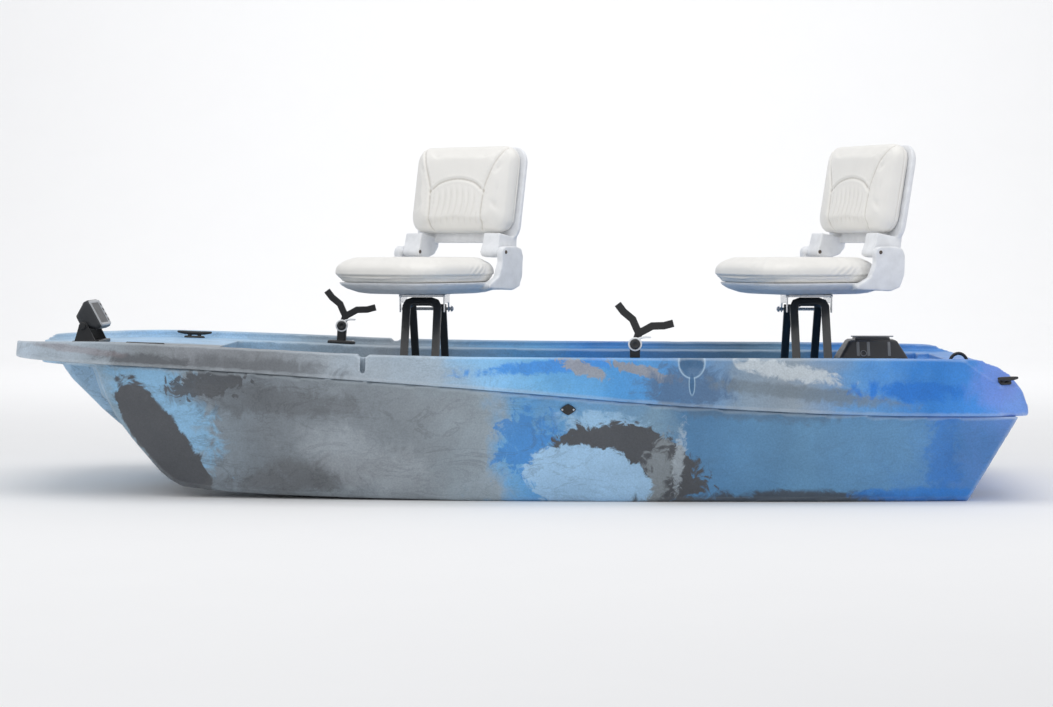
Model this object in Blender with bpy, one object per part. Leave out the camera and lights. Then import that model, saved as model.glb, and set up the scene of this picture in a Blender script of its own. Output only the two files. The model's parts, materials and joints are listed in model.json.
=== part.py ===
"""Two-seat electric fishing boat: rotomoulded tri-hull, deck rim, seats on stands, fittings.

Metres, +Z up, floor at Z = 0. Bow towards -X, stern towards +X, port side towards -Y.
"""

import math

import bmesh
import bpy
from mathutils import Matrix, Vector

# ---------------------------------------------------------------- overall sizes
LENGTH = 3.05
BEAM = 1.24
GAP = 0.0003                 # between pieces that touch
MOVE_GAP = 0.006             # between pieces that move past each other

BOW = -LENGTH / 2
STERN = LENGTH / 2

# Heights of the rim band along the boat: (metres aft of the bow on a 3.05 m boat, height)
SHEER_BASE = 3.05
RIM_TOP_LINE = ((0.0, 0.461), (0.30, 0.466), (0.52, 0.460), (0.83, 0.447), (1.14, 0.433),
                (1.50, 0.427), (1.90, 0.425), (2.50, 0.424), (3.05, 0.417))
RIM_LOW_LINE = ((0.0, 0.414), (0.30, 0.401), (0.72, 0.382), (1.00, 0.365), (1.33, 0.343),
                (1.62, 0.320), (1.93, 0.294), (2.20, 0.276), (2.66, 0.257), (3.05, 0.254))
# How far the rim stands in from half the beam: near the bow and near the stern
BOW_INSET = ((0.0, 0.400), (0.012, 0.335), (0.035, 0.275), (0.08, 0.222), (0.16, 0.168),
             (0.28, 0.122), (0.45, 0.083), (0.70, 0.048), (1.00, 0.020), (1.35, 0.0))
STERN_INSET = ((0.0, 0.130), (0.02, 0.108), (0.06, 0.084), (0.14, 0.066), (0.40, 0.040),
               (0.85, 0.014), (1.30, 0.0))
RIM_LEAN = 0.032             # rim top stands this far inside the rim's lower edge
RIM_SOFT = 0.010             # rounding of the rim's top edge
COAMING_W = 0.040            # width of the raised edge
LEDGE_DROP = 0.022           # deck and ledges lie this far below the rim top
LEDGE_W = 0.085              # width of the side ledges
TAIL_CUT = ((0.088, 0.0), (0.017, 0.092), (0.004, 0.130))    # from the stern: drop of the rim
CORNER_IN = (0.063, 0.115, 0.345)      # a point of the corner facet: from stern, from side, z
CORNER_FACE = (0.45, 0.62, 0.64)       # way it faces: aft, outboard, up

# Hull below the rim
OVERHANG = 0.018             # the rim band stands this far outside the hull side
SIDE_FLARE = 0.24            # hull side: metres out per metre up
CHINE_W = 0.016
CHINE_H = 0.030
TRANSOM_FOOT = 0.174         # bottom of the transom, from the stern
TRANSOM_HEAD = 0.037
BOW_FACE = 0.095             # start of the centre hull, from the bow
SPONSON_BOTTOM = ((0.288, 0.397), (0.303, 0.330), (0.341, 0.246), (0.385, 0.186),
                  (0.451, 0.104), (0.510, 0.050), (0.545, 0.032), (0.82, 0.012), (1.40, 0.0))
CENTRE_BOTTOM = ((0.095, 0.388), (0.134, 0.331), (0.187, 0.278), (0.257, 0.214), (0.34, 0.148),
                 (0.43, 0.090), (0.53, 0.045), (0.68, 0.016), (0.90, 0.006), (1.40, 0.0))
TUNNEL_ROOF = ((0.095, 0.392), (0.22, 0.335), (0.34, 0.262), (0.45, 0.200), (0.60, 0.145),
               (0.80, 0.132), (1.05, 0.130))
BOW_SIDE_IN = ((0.095, 0.080), (0.20, 0.060), (0.30, 0.040), (0.45, 0.012), (0.60, 0.0))
CENTRE_FLAT = 0.110          # half width of the centre hull's flat bottom
CENTRE_FLAT_BOW = 0.055
CENTRE_SIDE_W = 0.055
TUNNEL_OUTER = 0.345
SPONSON_INNER = 0.385
FLANGE = 0.014               # least thickness of the hull under the deck

# Cockpit
COCKPIT_FROM_BOW = 0.60
COCKPIT_FROM_STERN = 0.26
BENCH_Z = 0.250
SOLE_Z = 0.172
WALL_DRAFT = 0.030
WELL_HALF_W = 0.240
WELL_FROM_BOW = 0.66
WELL_FROM_STERN = 0.72
WELL_CORNER = 0.060
AFT_STEP_L = 0.040           # length of each step in the aft deck
AFT_STEP_H = 0.020

# Slots and funnel recesses in the rim
SLOT_X = -0.4225
SLOT_W = 0.030
SLOT_THROAT = 0.015
SLOT_TOP_DEPTH = 0.008
SLOT_SIDE_DEPTH = 0.054
FUNNEL_X = 0.535
FUNNEL_R = 0.050
FUNNEL_NECK = 0.011
FUNNEL_DEPTH = 0.097

# Side plugs
PLUG_X = 0.176
PLUG_DROP = 0.036            # below the rim's lower edge
PLUG_L = 0.046
PLUG_H = 0.034
PLUG_T = 0.005

# Seats and stands
SWIVEL_X = {"front": -0.283, "rear": 0.914}
SEAT_TURN = {"front": 55.0, "rear": 27.0}      # degrees from facing the bow, towards port
SEAT_Z = 0.600               # underside of the seat
PAN_H = 0.036
PAN_FRONT = 0.235
PAN_REAR = 0.215
PAN_HALF_W = 0.206
CUSHION_H = 0.072
CUSHION_FRONT = 0.262
CUSHION_REAR = 0.190
CUSHION_HALF_W = 0.214
LUG_T = 0.024
LUG_HALF_W = 0.222           # outside of the hinge lugs
HINGE_BACK = 0.130           # back hinge behind the swivel
HINGE_UP = 0.130
HINGE_BOSS = 0.014
RECLINE = 10.0
BACK_FROM = 0.064            # along the back from its hinge
BACK_H = 0.290
BACK_HALF_W = 0.208
BACK_CUSHION_T = 0.066
BACK_SHELL_T = 0.030
ARM_W = 0.066
ARM_DEPTH = 0.088

TUBE_W = 0.025               # stand bars
TUBE_T = 0.014
LEG_SPACING = 0.096          # between leg centres, fore and aft
STAND_TOP_Y = 0.118
STAND_FOOT_Y = 0.335
HEAD_T = 0.008
HEAD_HALF_X = 0.072
HEAD_HALF_Y = 0.098
AXLE_R = 0.005
AXLE_HALF_L = 0.082
PLATE_T = 0.004
PLATE_X = 0.068              # centre of each link plate from the stand's middle
PORT_AXLE_Z = SEAT_Z - 0.030
STARBOARD_AXLE_Z = SEAT_Z - 0.052

# Rod rests: (x, side, tilt towards the stern in degrees)
RESTS = {"front": (-0.600, 1, 19.0), "rear": (0.371, -1, 19.0)}
REST_ARM = 0.128
REST_SPREAD = 42.5
REST_BAR = 0.022
REST_T = 0.014
REST_PIVOT_UP = 0.060        # above the ledge
REST_POST_W = 0.030
REST_BASE_L = 0.092
REST_BASE_W = 0.052
REST_BASE_T = 0.010
REST_BOSS_R = 0.018

# Sounder at the bow
SOUNDER_X = -1.349
SOUNDER_PIVOT_UP = 0.056     # above the foredeck
SOUNDER_LEAN = 28.0
SOUNDER_HALF_W = 0.076
SOUNDER_H = 0.096
SOUNDER_DEPTH = 0.052
SOUNDER_CHEEK_T = 0.005

# Cleats
BOW_CLEAT_X = -1.088
BOW_CLEAT_IN = 0.100         # inside the rim's lower edge
CLEAT_L = 0.116
CLEAT_H = 0.022
CLEAT_BAR_R = 0.0065
STERN_CLEAT_L = 0.082
STERN_CLEAT_FWD = 0.012      # ahead of the corner facet's point

# Battery box
BOX_X = 1.118
BOX_L = 0.220
BOX_W = 0.180
BOX_H = 0.140
BOX_WALL = 0.006
LID_H = 0.066
LID_TAPER = 0.034
LID_PANEL_H = 0.010
LID_HINGE_R = 0.006

# Drive
DRIVE_FROM_STERN = 0.545     # steering axis
PROP_AFT = 0.100             # propeller behind the steering axis
POCKET_L = 0.340
POCKET_TOP = 0.200
POD_R = 0.026
POD_L = 0.150
POD_Z = 0.098
STRUT_R = 0.011
PROP_R = 0.055
PROP_HUB_R = 0.014
PROP_HUB_L = 0.030
BLADE_T = 0.004

# Foot pedals
PEDAL_X = {"front": -0.700, "rear": 0.440}
PEDAL_Y = -0.090
PEDAL_L = 0.240
PEDAL_W = 0.100
PEDAL_T = 0.010
PEDAL_PIVOT_UP = 0.050
PEDAL_REST = 12.0            # toe-up angle at rest

# Stern handle
HANDLE_FROM_STERN = 0.200
HANDLE_IN = 0.118
HANDLE_SPAN = 0.052
HANDLE_RISE = 0.030
HANDLE_R = 0.005

for old in list(bpy.data.objects):
    bpy.data.objects.remove(old, do_unlink=True)


# ---------------------------------------------------------------- small tools
def finish_material(name, rgb, rough=0.5, metal=0.0):
    mat = bpy.data.materials.new(name)
    mat.use_nodes = True
    bsdf = mat.node_tree.nodes["Principled BSDF"]
    bsdf.inputs["Base Color"].default_value = (*rgb, 1.0)
    bsdf.inputs["Roughness"].default_value = rough
    bsdf.inputs["Metallic"].default_value = metal
    return mat


HULL_PE = finish_material("polyethylene_hull", (0.20, 0.30, 0.40), 0.45)
DECK_PE = finish_material("polyethylene_deck", (0.22, 0.42, 0.62), 0.45)
BLACK = finish_material("black_plastic", (0.015, 0.015, 0.017), 0.45)
BLACK_STEEL = finish_material("black_powder_coat", (0.02, 0.02, 0.022), 0.4)
STEEL = finish_material("zinc_steel", (0.6, 0.6, 0.62), 0.3, 1.0)
WHITE_SHELL = finish_material("white_seat_shell", (0.75, 0.76, 0.78), 0.4)
VINYL = finish_material("white_vinyl", (0.82, 0.81, 0.78), 0.5)
GREY = finish_material("grey_plastic", (0.35, 0.36, 0.38), 0.4)


def curve_at(pairs, x):
    """Smooth monotone curve through (x, value) pairs, level outside them."""
    if x <= pairs[0][0]:
        return pairs[0][1]
    if x >= pairs[-1][0]:
        return pairs[-1][1]
    n = len(pairs)
    slopes = [(pairs[i + 1][1] - pairs[i][1]) / (pairs[i + 1][0] - pairs[i][0])
              for i in range(n - 1)]
    tangents = [slopes[0]]
    for a, b in zip(slopes, slopes[1:]):
        tangents.append(0.0 if a * b <= 0 else 2 * a * b / (a + b))
    tangents.append(slopes[-1])
    i = max(k for k in range(n - 1) if pairs[k][0] <= x)
    (x0, y0), (x1, y1) = pairs[i], pairs[i + 1]
    h = x1 - x0
    t = (x - x0) / h
    return (y0 * (1 + 2 * t) * (1 - t) ** 2 + tangents[i] * h * t * (1 - t) ** 2
            + y1 * t * t * (3 - 2 * t) + tangents[i + 1] * h * t * t * (t - 1))


def make_object(name, bm, material, origin=(0, 0, 0), frame=None):
    """Put a bmesh into an object whose origin is the given point of its own frame."""
    bmesh.ops.recalc_face_normals(bm, faces=bm.faces)
    mesh = bpy.data.meshes.new(name)
    bm.to_mesh(mesh)
    bm.free()
    mesh.transform(Matrix.Translation(-Vector(origin)))
    obj = bpy.data.objects.new(name, mesh)
    bpy.context.collection.objects.link(obj)
    obj.matrix_world = (frame or Matrix()) @ Matrix.Translation(Vector(origin))
    if material is not None:
        mesh.materials.append(material)
    return obj


def loft(rings):
    """Closed body through rings with the same number of points."""
    bm = bmesh.new()
    rows = [[bm.verts.new(p) for p in ring] for ring in rings]
    count = len(rows[0])
    for a, b in zip(rows, rows[1:]):
        for k in range(count):
            bm.faces.new((a[k], a[(k + 1) % count], b[(k + 1) % count], b[k]))
    bm.faces.new(rows[0])
    bm.faces.new(list(reversed(rows[-1])))
    return bm


def prism(points, axis, low, high):
    """Outline in the other two axes, pulled along one axis from low to high."""
    def place(p, level):
        q = list(p)
        q.insert("xyz".index(axis), level)
        return q
    return loft([[place(p, low) for p in points], [place(p, high) for p in points]])


def block(low, high, soft=0.0, segments=2):
    bm = bmesh.new()
    bmesh.ops.create_cube(bm, size=1.0)
    for v in bm.verts:
        v.co = [low[i] if v.co[i] < 0 else high[i] for i in range(3)]
    if soft:
        bmesh.ops.bevel(bm, geom=list(bm.edges), offset=soft, segments=segments,
                        profile=0.5, affect='EDGES')
    return bm


def rod(start, end, radius, sides=16):
    start, end = Vector(start), Vector(end)
    bm = bmesh.new()
    turn = (end - start).to_track_quat('Z', 'Y').to_matrix().to_4x4()
    bmesh.ops.create_cone(bm, cap_ends=True, segments=sides, radius1=radius, radius2=radius,
                          depth=(end - start).length,
                          matrix=Matrix.Translation((start + end) / 2) @ turn)
    return bm


def turned(profile, sides=24):
    """Revolve (radius, height) pairs about Z."""
    return loft([[(r * math.cos(2 * math.pi * k / sides), r * math.sin(2 * math.pi * k / sides), z)
                  for k in range(sides)] for r, z in profile])


def sweep(points, radius, sides=10):
    """Round bar along points in 3-D."""
    points = [Vector(p) for p in points]
    rings = []
    normal = None
    for i, p in enumerate(points):
        before = points[max(i - 1, 0)]
        after = points[min(i + 1, len(points) - 1)]
        along = (after - before).normalized()
        if normal is None:
            normal = along.orthogonal().normalized()
        normal = (normal - along * normal.dot(along)).normalized()
        side = along.cross(normal)
        rings.append([p + (normal * math.cos(2 * math.pi * k / sides)
                           + side * math.sin(2 * math.pi * k / sides)) * radius
                      for k in range(sides)])
    return loft(rings)


def flat_sweep(points, across, width, thick):
    """Flat bar along points: width lies in the plane of the path, thick lies across it."""
    points = [Vector(p) for p in points]
    across = Vector(across).normalized()
    rings = []
    for i, p in enumerate(points):
        if i == 0 or i == len(points) - 1:
            along = (points[min(i + 1, len(points) - 1)] - points[max(i - 1, 0)]).normalized()
            scale = 1.0
        else:
            a = (p - points[i - 1]).normalized()
            b = (points[i + 1] - p).normalized()
            along = (a + b).normalized()
            scale = 1.0 / max(along.dot(a), 0.5)
        side = along.cross(across).normalized() * (width / 2 * scale)
        up = across * (thick / 2)
        rings.append([p + side + up, p - side + up, p - side - up, p + side - up])
    return loft(rings)


def change(target, tool, operation):
    """Cut or join with a hidden tool object."""
    tool.hide_render = True
    tool.display_type = 'WIRE'
    mod = target.modifiers.new(tool.name, 'BOOLEAN')
    mod.operation = operation
    mod.solver = 'EXACT'
    mod.object = tool


def cut(target, name, bm, frame=None):
    change(target, make_object(name, bm, None, frame=frame), 'DIFFERENCE')


def join(target, name, bm, frame=None):
    change(target, make_object(name, bm, None, frame=frame), 'UNION')


def round_rect(half_u, half_v, corner, steps=4, centre=(0.0, 0.0)):
    pts = []
    corner = min(corner, half_u, half_v)
    for quarter, (su, sv) in enumerate(((1, 1), (-1, 1), (-1, -1), (1, -1))):
        for k in range(steps + 1):
            a = math.pi / 2 * (quarter + k / steps)
            pts.append((centre[0] + su * (half_u - corner) + corner * math.cos(a),
                        centre[1] + sv * (half_v - corner) + corner * math.sin(a)))
    return pts


# ---------------------------------------------------------------- hull lines
def sheer(pairs, x):
    return curve_at(pairs, (x - BOW) / LENGTH * SHEER_BASE)


def rim_low_z(x):
    return sheer(RIM_LOW_LINE, x)


def tail_drop(x):
    d = STERN - x
    for (d0, h0), (d1, h1) in zip(TAIL_CUT, TAIL_CUT[1:]):
        if d0 >= d >= d1:
            return h0 + (h1 - h0) * (d0 - d) / (d0 - d1)
    return 0.0 if d > TAIL_CUT[0][0] else TAIL_CUT[-1][1]


def rim_top_z(x):
    return sheer(RIM_TOP_LINE, x) - tail_drop(x)


def rim_y(x):
    return BEAM / 2 - curve_at(BOW_INSET, x - BOW) - curve_at(STERN_INSET, STERN - x)


def deck_z(x):
    return rim_top_z(x) - LEDGE_DROP


def ledge_outer(x):
    return rim_y(x) - RIM_LEAN - COAMING_W


def ledge_mid(x):
    return ledge_outer(x) - LEDGE_W / 2


def side_y(x, z):
    """Hull side below the rim band."""
    return rim_y(x) - OVERHANG - curve_at(BOW_SIDE_IN, x - BOW) - SIDE_FLARE * (rim_low_z(x) - z)


def mirror_ring(half):
    """half runs from the centre bottom out and back to the centre top on the -Y side."""
    return half + [(x, -y, z) for x, y, z in reversed(half)]


def spread(first, last, count):
    return [first + (last - first) * k / (count - 1) for k in range(count)]


# ---------------------------------------------------------------- hull
def fitting_spans():
    """Stretches of deck that stay flat under a fitting."""
    spans = [(BOW_CLEAT_X - CLEAT_L * 0.36, BOW_CLEAT_X + CLEAT_L * 0.36),
             (SOUNDER_X - 0.042, SOUNDER_X + 0.056),
             (STERN - HANDLE_FROM_STERN - 0.042, STERN - HANDLE_FROM_STERN + 0.042)]
    spans += [(rx - REST_BASE_L / 2 - 0.004, rx + REST_BASE_L / 2 + 0.004)
              for rx, _, _ in RESTS.values()]
    return spans


def on_deck(x, y):
    """Frame on the deck or a ledge: X along it towards the stern, Z away from it."""
    low, high = next(s for s in fitting_spans() if s[0] <= x <= s[1])
    rise = (deck_z(high) - deck_z(low)) / (high - low)
    along = Vector((1, 0, rise)).normalized()
    lift = Vector((-along.z, 0, along.x))
    spot = Vector((x, y, deck_z(low) + rise * (x - low))) + lift * GAP
    turn = Matrix((along, lift.cross(along), lift)).transposed().to_4x4()
    return Matrix.Translation(spot) @ turn


# Both mouldings share their stations, so that they meet along one parting line
BOW_STATIONS = (0.012, 0.022, 0.035, 0.055, 0.075, 0.095, 0.115, 0.134, 0.160, 0.187, 0.222,
                0.257, 0.288, 0.303, 0.320, 0.341, 0.362, 0.385, 0.418, 0.451, 0.480, 0.510,
                0.545, 0.62, 0.72, 0.86, 1.02, 1.20, 1.40)
STERN_STATIONS = (0.27, 0.22, TAIL_CUT[0][0])
shared = [BOW + d for d in BOW_STATIONS]
shared += spread(BOW + 1.60, STERN - 0.40, 6) + [STERN - d for d in STERN_STATIONS]
shared = sorted([x for x in shared if x < BOW + 0.6
                 or not any(a - 0.02 < x < b + 0.02 for a, b in fitting_spans())]
                + [x for span in fitting_spans() for x in span])
shared = [x for x in shared if not any(a + 0.003 < x < b - 0.003 for a, b in fitting_spans())]
shared = [a for a, b in zip(shared, shared[1:] + [STERN + 1]) if b - a > 0.004]


def hull_half(x, rake=0.0):
    d = x - BOW
    top = rim_low_z(STERN - TRANSOM_HEAD if rake else x) - GAP
    centre = min(curve_at(CENTRE_BOTTOM, d), top - FLANGE)
    roof = min(max(curve_at(TUNNEL_ROOF, d), centre + 0.002), top - FLANGE)
    pod = min(curve_at(SPONSON_BOTTOM, d), top - FLANGE)
    roof = max(roof, min(pod, top - FLANGE)) if d < SPONSON_BOTTOM[0][0] else roof
    flat = curve_at(((BOW_FACE, CENTRE_FLAT_BOW), (1.0, CENTRE_FLAT)), d)
    edge = max(side_y(x, pod + CHINE_H), SPONSON_INNER + CHINE_W + 0.004)
    edge_top = side_y(x, top)
    inner = min(SPONSON_INNER, edge - CHINE_W - 0.004)
    outer_roof = min(TUNNEL_OUTER, inner - 0.004)
    if edge_top < edge:
        edge = edge_top - 0.002
        inner = min(inner, edge - CHINE_W - 0.02)
        outer_roof = min(outer_roof, inner - 0.02)
    chine = min(pod + CHINE_H, top - FLANGE / 2)
    half = [(0.0, centre), (flat, centre), (flat + CENTRE_SIDE_W * 0.35, centre + 0.022),
            (flat + CENTRE_SIDE_W, roof), (outer_roof, roof), (inner - 0.010, pod + 0.016),
            (inner + 0.006, pod), (edge - CHINE_W, pod), (edge - 0.004, pod + CHINE_H * 0.4),
            (edge, chine), (edge_top, top), (0.0, top)]
    half[2] = (half[2][0], min(half[2][1], roof))
    half[5] = (half[5][0], min(half[5][1], max(roof, pod)))
    return [(x + rake * z, -y, z) for y, z in half]


transom_x = STERN - TRANSOM_FOOT
rake = (TRANSOM_FOOT - TRANSOM_HEAD) / rim_low_z(STERN)
hull_rings = [mirror_ring(hull_half(x)) for x in shared
              if BOW + BOW_FACE - 0.001 < x < transom_x - 0.03]
hull_rings.append(mirror_ring(hull_half(transom_x, rake)))
hull = make_object("hull_tub", loft(hull_rings), HULL_PE)


# ---------------------------------------------------------------- deck rim
def deck_half(x, low_lift=0.0, top_drop=0.0, shrink=0.0):
    low = rim_low_z(x) + low_lift
    top = max(rim_top_z(x) - top_drop, low + 0.012)
    y0 = rim_y(x) - shrink
    lean = RIM_LEAN * (top - low) / (rim_top_z(0.0) - rim_low_z(0.0))
    lean = min(lean, RIM_LEAN)
    y1 = y0 - lean
    drop = min(LEDGE_DROP, (top - low) * 0.4)
    half = [(0.0, low), (y0 - 0.006, low), (y0, low + min(0.006, (top - low) * 0.3)),
            (y1, top - min(RIM_SOFT, (top - low) * 0.3)), (y1 - RIM_SOFT * 0.3, top - RIM_SOFT * 0.1),
            (y1 - RIM_SOFT, top), (y1 - COAMING_W + 0.004, top), (y1 - COAMING_W, top - drop),
            (0.0, top - drop)]
    return [(x, -y, z) for y, z in half]


deck_rings = [mirror_ring(deck_half(BOW, 0.014, 0.016, 0.03)),
              mirror_ring(deck_half(BOW + 0.004, 0.006, 0.008, 0.012))]
deck_stations = [x for x in shared if x > BOW + 0.008]
deck_stations += [STERN - TAIL_CUT[1][0], STERN - TAIL_CUT[2][0]]
deck_rings += [mirror_ring(deck_half(x)) for x in deck_stations]
deck_rings.append(mirror_ring(deck_half(STERN, 0.004, 0.002, 0.006)))
deck = make_object("deck_rim", loft(deck_rings), DECK_PE)

# Cockpit through the deck and into the hull
cockpit_start = BOW + COCKPIT_FROM_BOW
cockpit_end = STERN - COCKPIT_FROM_STERN


def cockpit_ring(x, pull=0.0):
    wide = ledge_outer(x) - LEDGE_W - pull
    low = wide - WALL_DRAFT
    return [(x, -low, BENCH_Z), (x, low, BENCH_Z), (x, wide, rim_top_z(0) + 0.1),
            (x, -wide, rim_top_z(0) + 0.1)]


cockpit_stations = ([(cockpit_start, 0.060), (cockpit_start + 0.012, 0.028),
                     (cockpit_start + 0.035, 0.008), (cockpit_start + 0.070, 0.0)]
                    + [(x, 0.0) for x in spread(cockpit_start + 0.16, cockpit_end - 0.16, 9)]
                    + [(cockpit_end - 0.070, 0.0), (cockpit_end - 0.035, 0.008),
                       (cockpit_end - 0.012, 0.028), (cockpit_end, 0.060)])
for body in (deck, hull):
    cut(body, body.name + "_cockpit", loft([cockpit_ring(x, p) for x, p in cockpit_stations]))

well_low = BOW + WELL_FROM_BOW
well_high = STERN - WELL_FROM_STERN
well_mid = (well_low + well_high) / 2
well_half = (well_high - well_low) / 2
well = [[(u, v, z) for u, v in round_rect(well_half - g, WELL_HALF_W - g, WELL_CORNER, 4,
                                          (well_mid, 0.0))]
        for g, z in ((0.020, SOLE_Z), (0.008, SOLE_Z + 0.010), (0.0, SOLE_Z + 0.05),
                     (0.0, rim_top_z(0)))]
cut(hull, "hull_well", loft(well))
cut(deck, "deck_well_front", loft(well))

# Two low steps between the aft deck and the cockpit
for n in (1, 2):
    far = cockpit_end + n * AFT_STEP_L
    half = ledge_outer(far) - LEDGE_W - n * 0.03
    cut(deck, "deck_step_%d" % n,
        block((cockpit_end - 0.05, -half, deck_z(far) - (3 - n) * AFT_STEP_H),
              (far, half, rim_top_z(0) + 0.1)))

# Slots and funnel recesses, both sides
for side, word in ((-1, "port"), (1, "starboard")):
    edge = rim_y(SLOT_X)
    top = rim_top_z(SLOT_X)
    ys = sorted((side * (edge + 0.02), side * (ledge_outer(SLOT_X) - 0.01)))
    cut(deck, "deck_slot_top_" + word,
        block((SLOT_X - SLOT_W / 2, ys[0], top - SLOT_TOP_DEPTH),
              (SLOT_X + SLOT_W / 2, ys[1], top + 0.05)))
    ys = sorted((side * (edge + 0.02), side * (edge - RIM_LEAN - 0.012)))
    cut(deck, "deck_slot_side_" + word,
        block((SLOT_X - SLOT_THROAT / 2, ys[0], top - SLOT_SIDE_DEPTH),
              (SLOT_X + SLOT_THROAT / 2, ys[1], top + 0.02)))
    top = rim_top_z(FUNNEL_X)
    place = Matrix.Translation((FUNNEL_X, side * (rim_y(FUNNEL_X) - 0.004), top))
    cut(deck, "deck_funnel_" + word,
        turned(((0.002, -FUNNEL_DEPTH), (FUNNEL_NECK * 0.8, -FUNNEL_DEPTH + 0.004),
                (FUNNEL_NECK, -FUNNEL_DEPTH + 0.012), (FUNNEL_NECK * 1.1, -FUNNEL_DEPTH * 0.62),
                (FUNNEL_R * 0.55, -FUNNEL_DEPTH * 0.45), (FUNNEL_R * 0.86, -FUNNEL_DEPTH * 0.25),
                (FUNNEL_R, 0.02)), 32), place)

# Pockets over the thrusters, in the tunnel roofs
drive_x = STERN - DRIVE_FROM_STERN
tunnel_inner = CENTRE_FLAT + CENTRE_SIDE_W
tunnel_y = (tunnel_inner + TUNNEL_OUTER) / 2
tunnel_half = (TUNNEL_OUTER - tunnel_inner) / 2
for side, word in ((-1, "port"), (1, "starboard")):
    pocket = [[(u, v, z) for u, v in round_rect(POCKET_L / 2 - g, tunnel_half - g, 0.03, 4,
                                                (drive_x + PROP_AFT / 2, side * tunnel_y))]
              for g, z in ((-0.002, 0.06), (0.0, POCKET_TOP - 0.012), (0.012, POCKET_TOP))]
    cut(hull, "hull_pocket_" + word, loft(pocket))

# Facets across the stern corners
for side, word in ((-1, "port"), (1, "starboard")):
    face = Vector((CORNER_FACE[0], side * CORNER_FACE[1], CORNER_FACE[2])).normalized()
    spot = Vector((STERN - CORNER_IN[0], side * (BEAM / 2 - CORNER_IN[1]), CORNER_IN[2]))
    level = Vector((-side * face.y, side * face.x, 0)).normalized() * -1
    turn = Matrix((level, face.cross(level), face)).transposed().to_4x4()
    cut(deck, "deck_corner_" + word, block((-0.25, -0.25, 0.0), (0.25, 0.25, 0.20)),
        Matrix.Translation(spot) @ turn)

# ---------------------------------------------------------------- side plugs
plug_z = rim_low_z(PLUG_X) - PLUG_DROP
for side, word in ((-1, "port"), (1, "starboard")):
    here = Vector((PLUG_X, side_y(PLUG_X, plug_z), plug_z))
    along = Vector((0.1, side_y(PLUG_X + 0.1, plug_z) - here.y, 0)).normalized()
    up = Vector((0, SIDE_FLARE, 1)).normalized()
    out = up.cross(along).normalized()
    if out.y < 0:
        out = -out
    up = out.cross(along).normalized() * -1
    here += out * (GAP * 2)
    turn = Matrix((along, up, out)).transposed().to_4x4()
    frame = Matrix.Translation(here) @ turn
    if side < 0:
        frame = Matrix.Scale(-1, 4, (0, 1, 0)) @ frame
    outline = []
    for k in range(24):
        a = 2 * math.pi * k / 24
        c, s = math.cos(a), math.sin(a)
        r = (abs(c) ** 1.25 + abs(s) ** 1.25) ** (-1 / 1.25)
        outline.append((PLUG_L / 2 * r * c, PLUG_H / 2 * r * s))
    rings = [[frame @ Vector((u * g, v * g, w)) for u, v in outline]
             for g, w in ((1.0, 0.0), (1.0, PLUG_T - 0.0015), (0.93, PLUG_T))]
    make_object(word + "_side_plug", loft(rings), BLACK)


# ---------------------------------------------------------------- cleats
def cleat(name, frame, length):
    """T-bar on two feet over a base plate; frame's X runs along it, Z away from the deck."""
    base = [[(u, v, w) for u, v in round_rect(length * 0.30 - g, 0.011 - g, 0.010)]
            for g, w in ((0.0, 0.0), (0.0, 0.003), (0.003, 0.006))]
    obj = make_object(name, loft(base), BLACK, frame=frame)
    for end in (-1, 1):
        foot = [[(end * length * 0.14 + u, v, w) for u, v in round_rect(0.006, 0.005, 0.004)]
                for w in (0.002, CLEAT_H - CLEAT_BAR_R)]
        join(obj, "%s_foot_%s" % (name, "ab"[end > 0]), loft(foot), frame)
    bar = [[(length * t, CLEAT_BAR_R * r * math.cos(a), CLEAT_H - CLEAT_BAR_R + lift
             + CLEAT_BAR_R * r * math.sin(a)) for a in spread(0, 2 * math.pi * 11 / 12, 12)]
           for t, r, lift in ((-0.5, 0.35, 0.003), (-0.47, 0.62, 0.0028), (-0.30, 0.9, 0.001),
                              (-0.1, 1.0, 0.0), (0.1, 1.0, 0.0), (0.30, 0.9, 0.001),
                              (0.47, 0.62, 0.0028), (0.5, 0.35, 0.003))]
    join(obj, name + "_bar", loft(bar), frame)
    return obj


for side, word in ((-1, "port"), (1, "starboard")):
    y = side * (rim_y(BOW_CLEAT_X) - BOW_CLEAT_IN)
    cleat("bow_cleat_" + word, on_deck(BOW_CLEAT_X, y), CLEAT_L)
    face = Vector((CORNER_FACE[0], side * CORNER_FACE[1], CORNER_FACE[2])).normalized()
    level = Vector((abs(face.y), -side * face.x, 0)).normalized()
    spot = Vector((STERN - CORNER_IN[0] - STERN_CLEAT_FWD, side * (BEAM / 2 - CORNER_IN[1]), 0))
    ahead = STERN_CLEAT_FWD * face.x / face.z
    spot = spot + Vector((0, 0, CORNER_IN[2] + ahead)) + face * GAP
    turn = Matrix((level, face.cross(level), face)).transposed().to_4x4()
    cleat("stern_cleat_" + word, Matrix.Translation(spot) @ turn, STERN_CLEAT_L)

# ---------------------------------------------------------------- stern handle
hx = STERN - HANDLE_FROM_STERN
seat_frame = on_deck(hx, -(rim_y(hx) - HANDLE_IN))
loop = [(HANDLE_SPAN / 2 * math.cos(math.pi * k / 14), 0,
         0.006 + HANDLE_RISE * math.sin(math.pi * k / 14)) for k in range(15)]
handle = make_object("stern_handle", sweep(loop, HANDLE_R), BLACK, frame=seat_frame)
for end in (-1, 1):
    foot = [[(end * HANDLE_SPAN / 2 + u, v, w) for u, v in round_rect(0.011, 0.011, 0.008)]
            for w in (0.0, 0.008)]
    join(handle, "stern_handle_foot_" + "ab"[end > 0], loft(foot), seat_frame)

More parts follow.
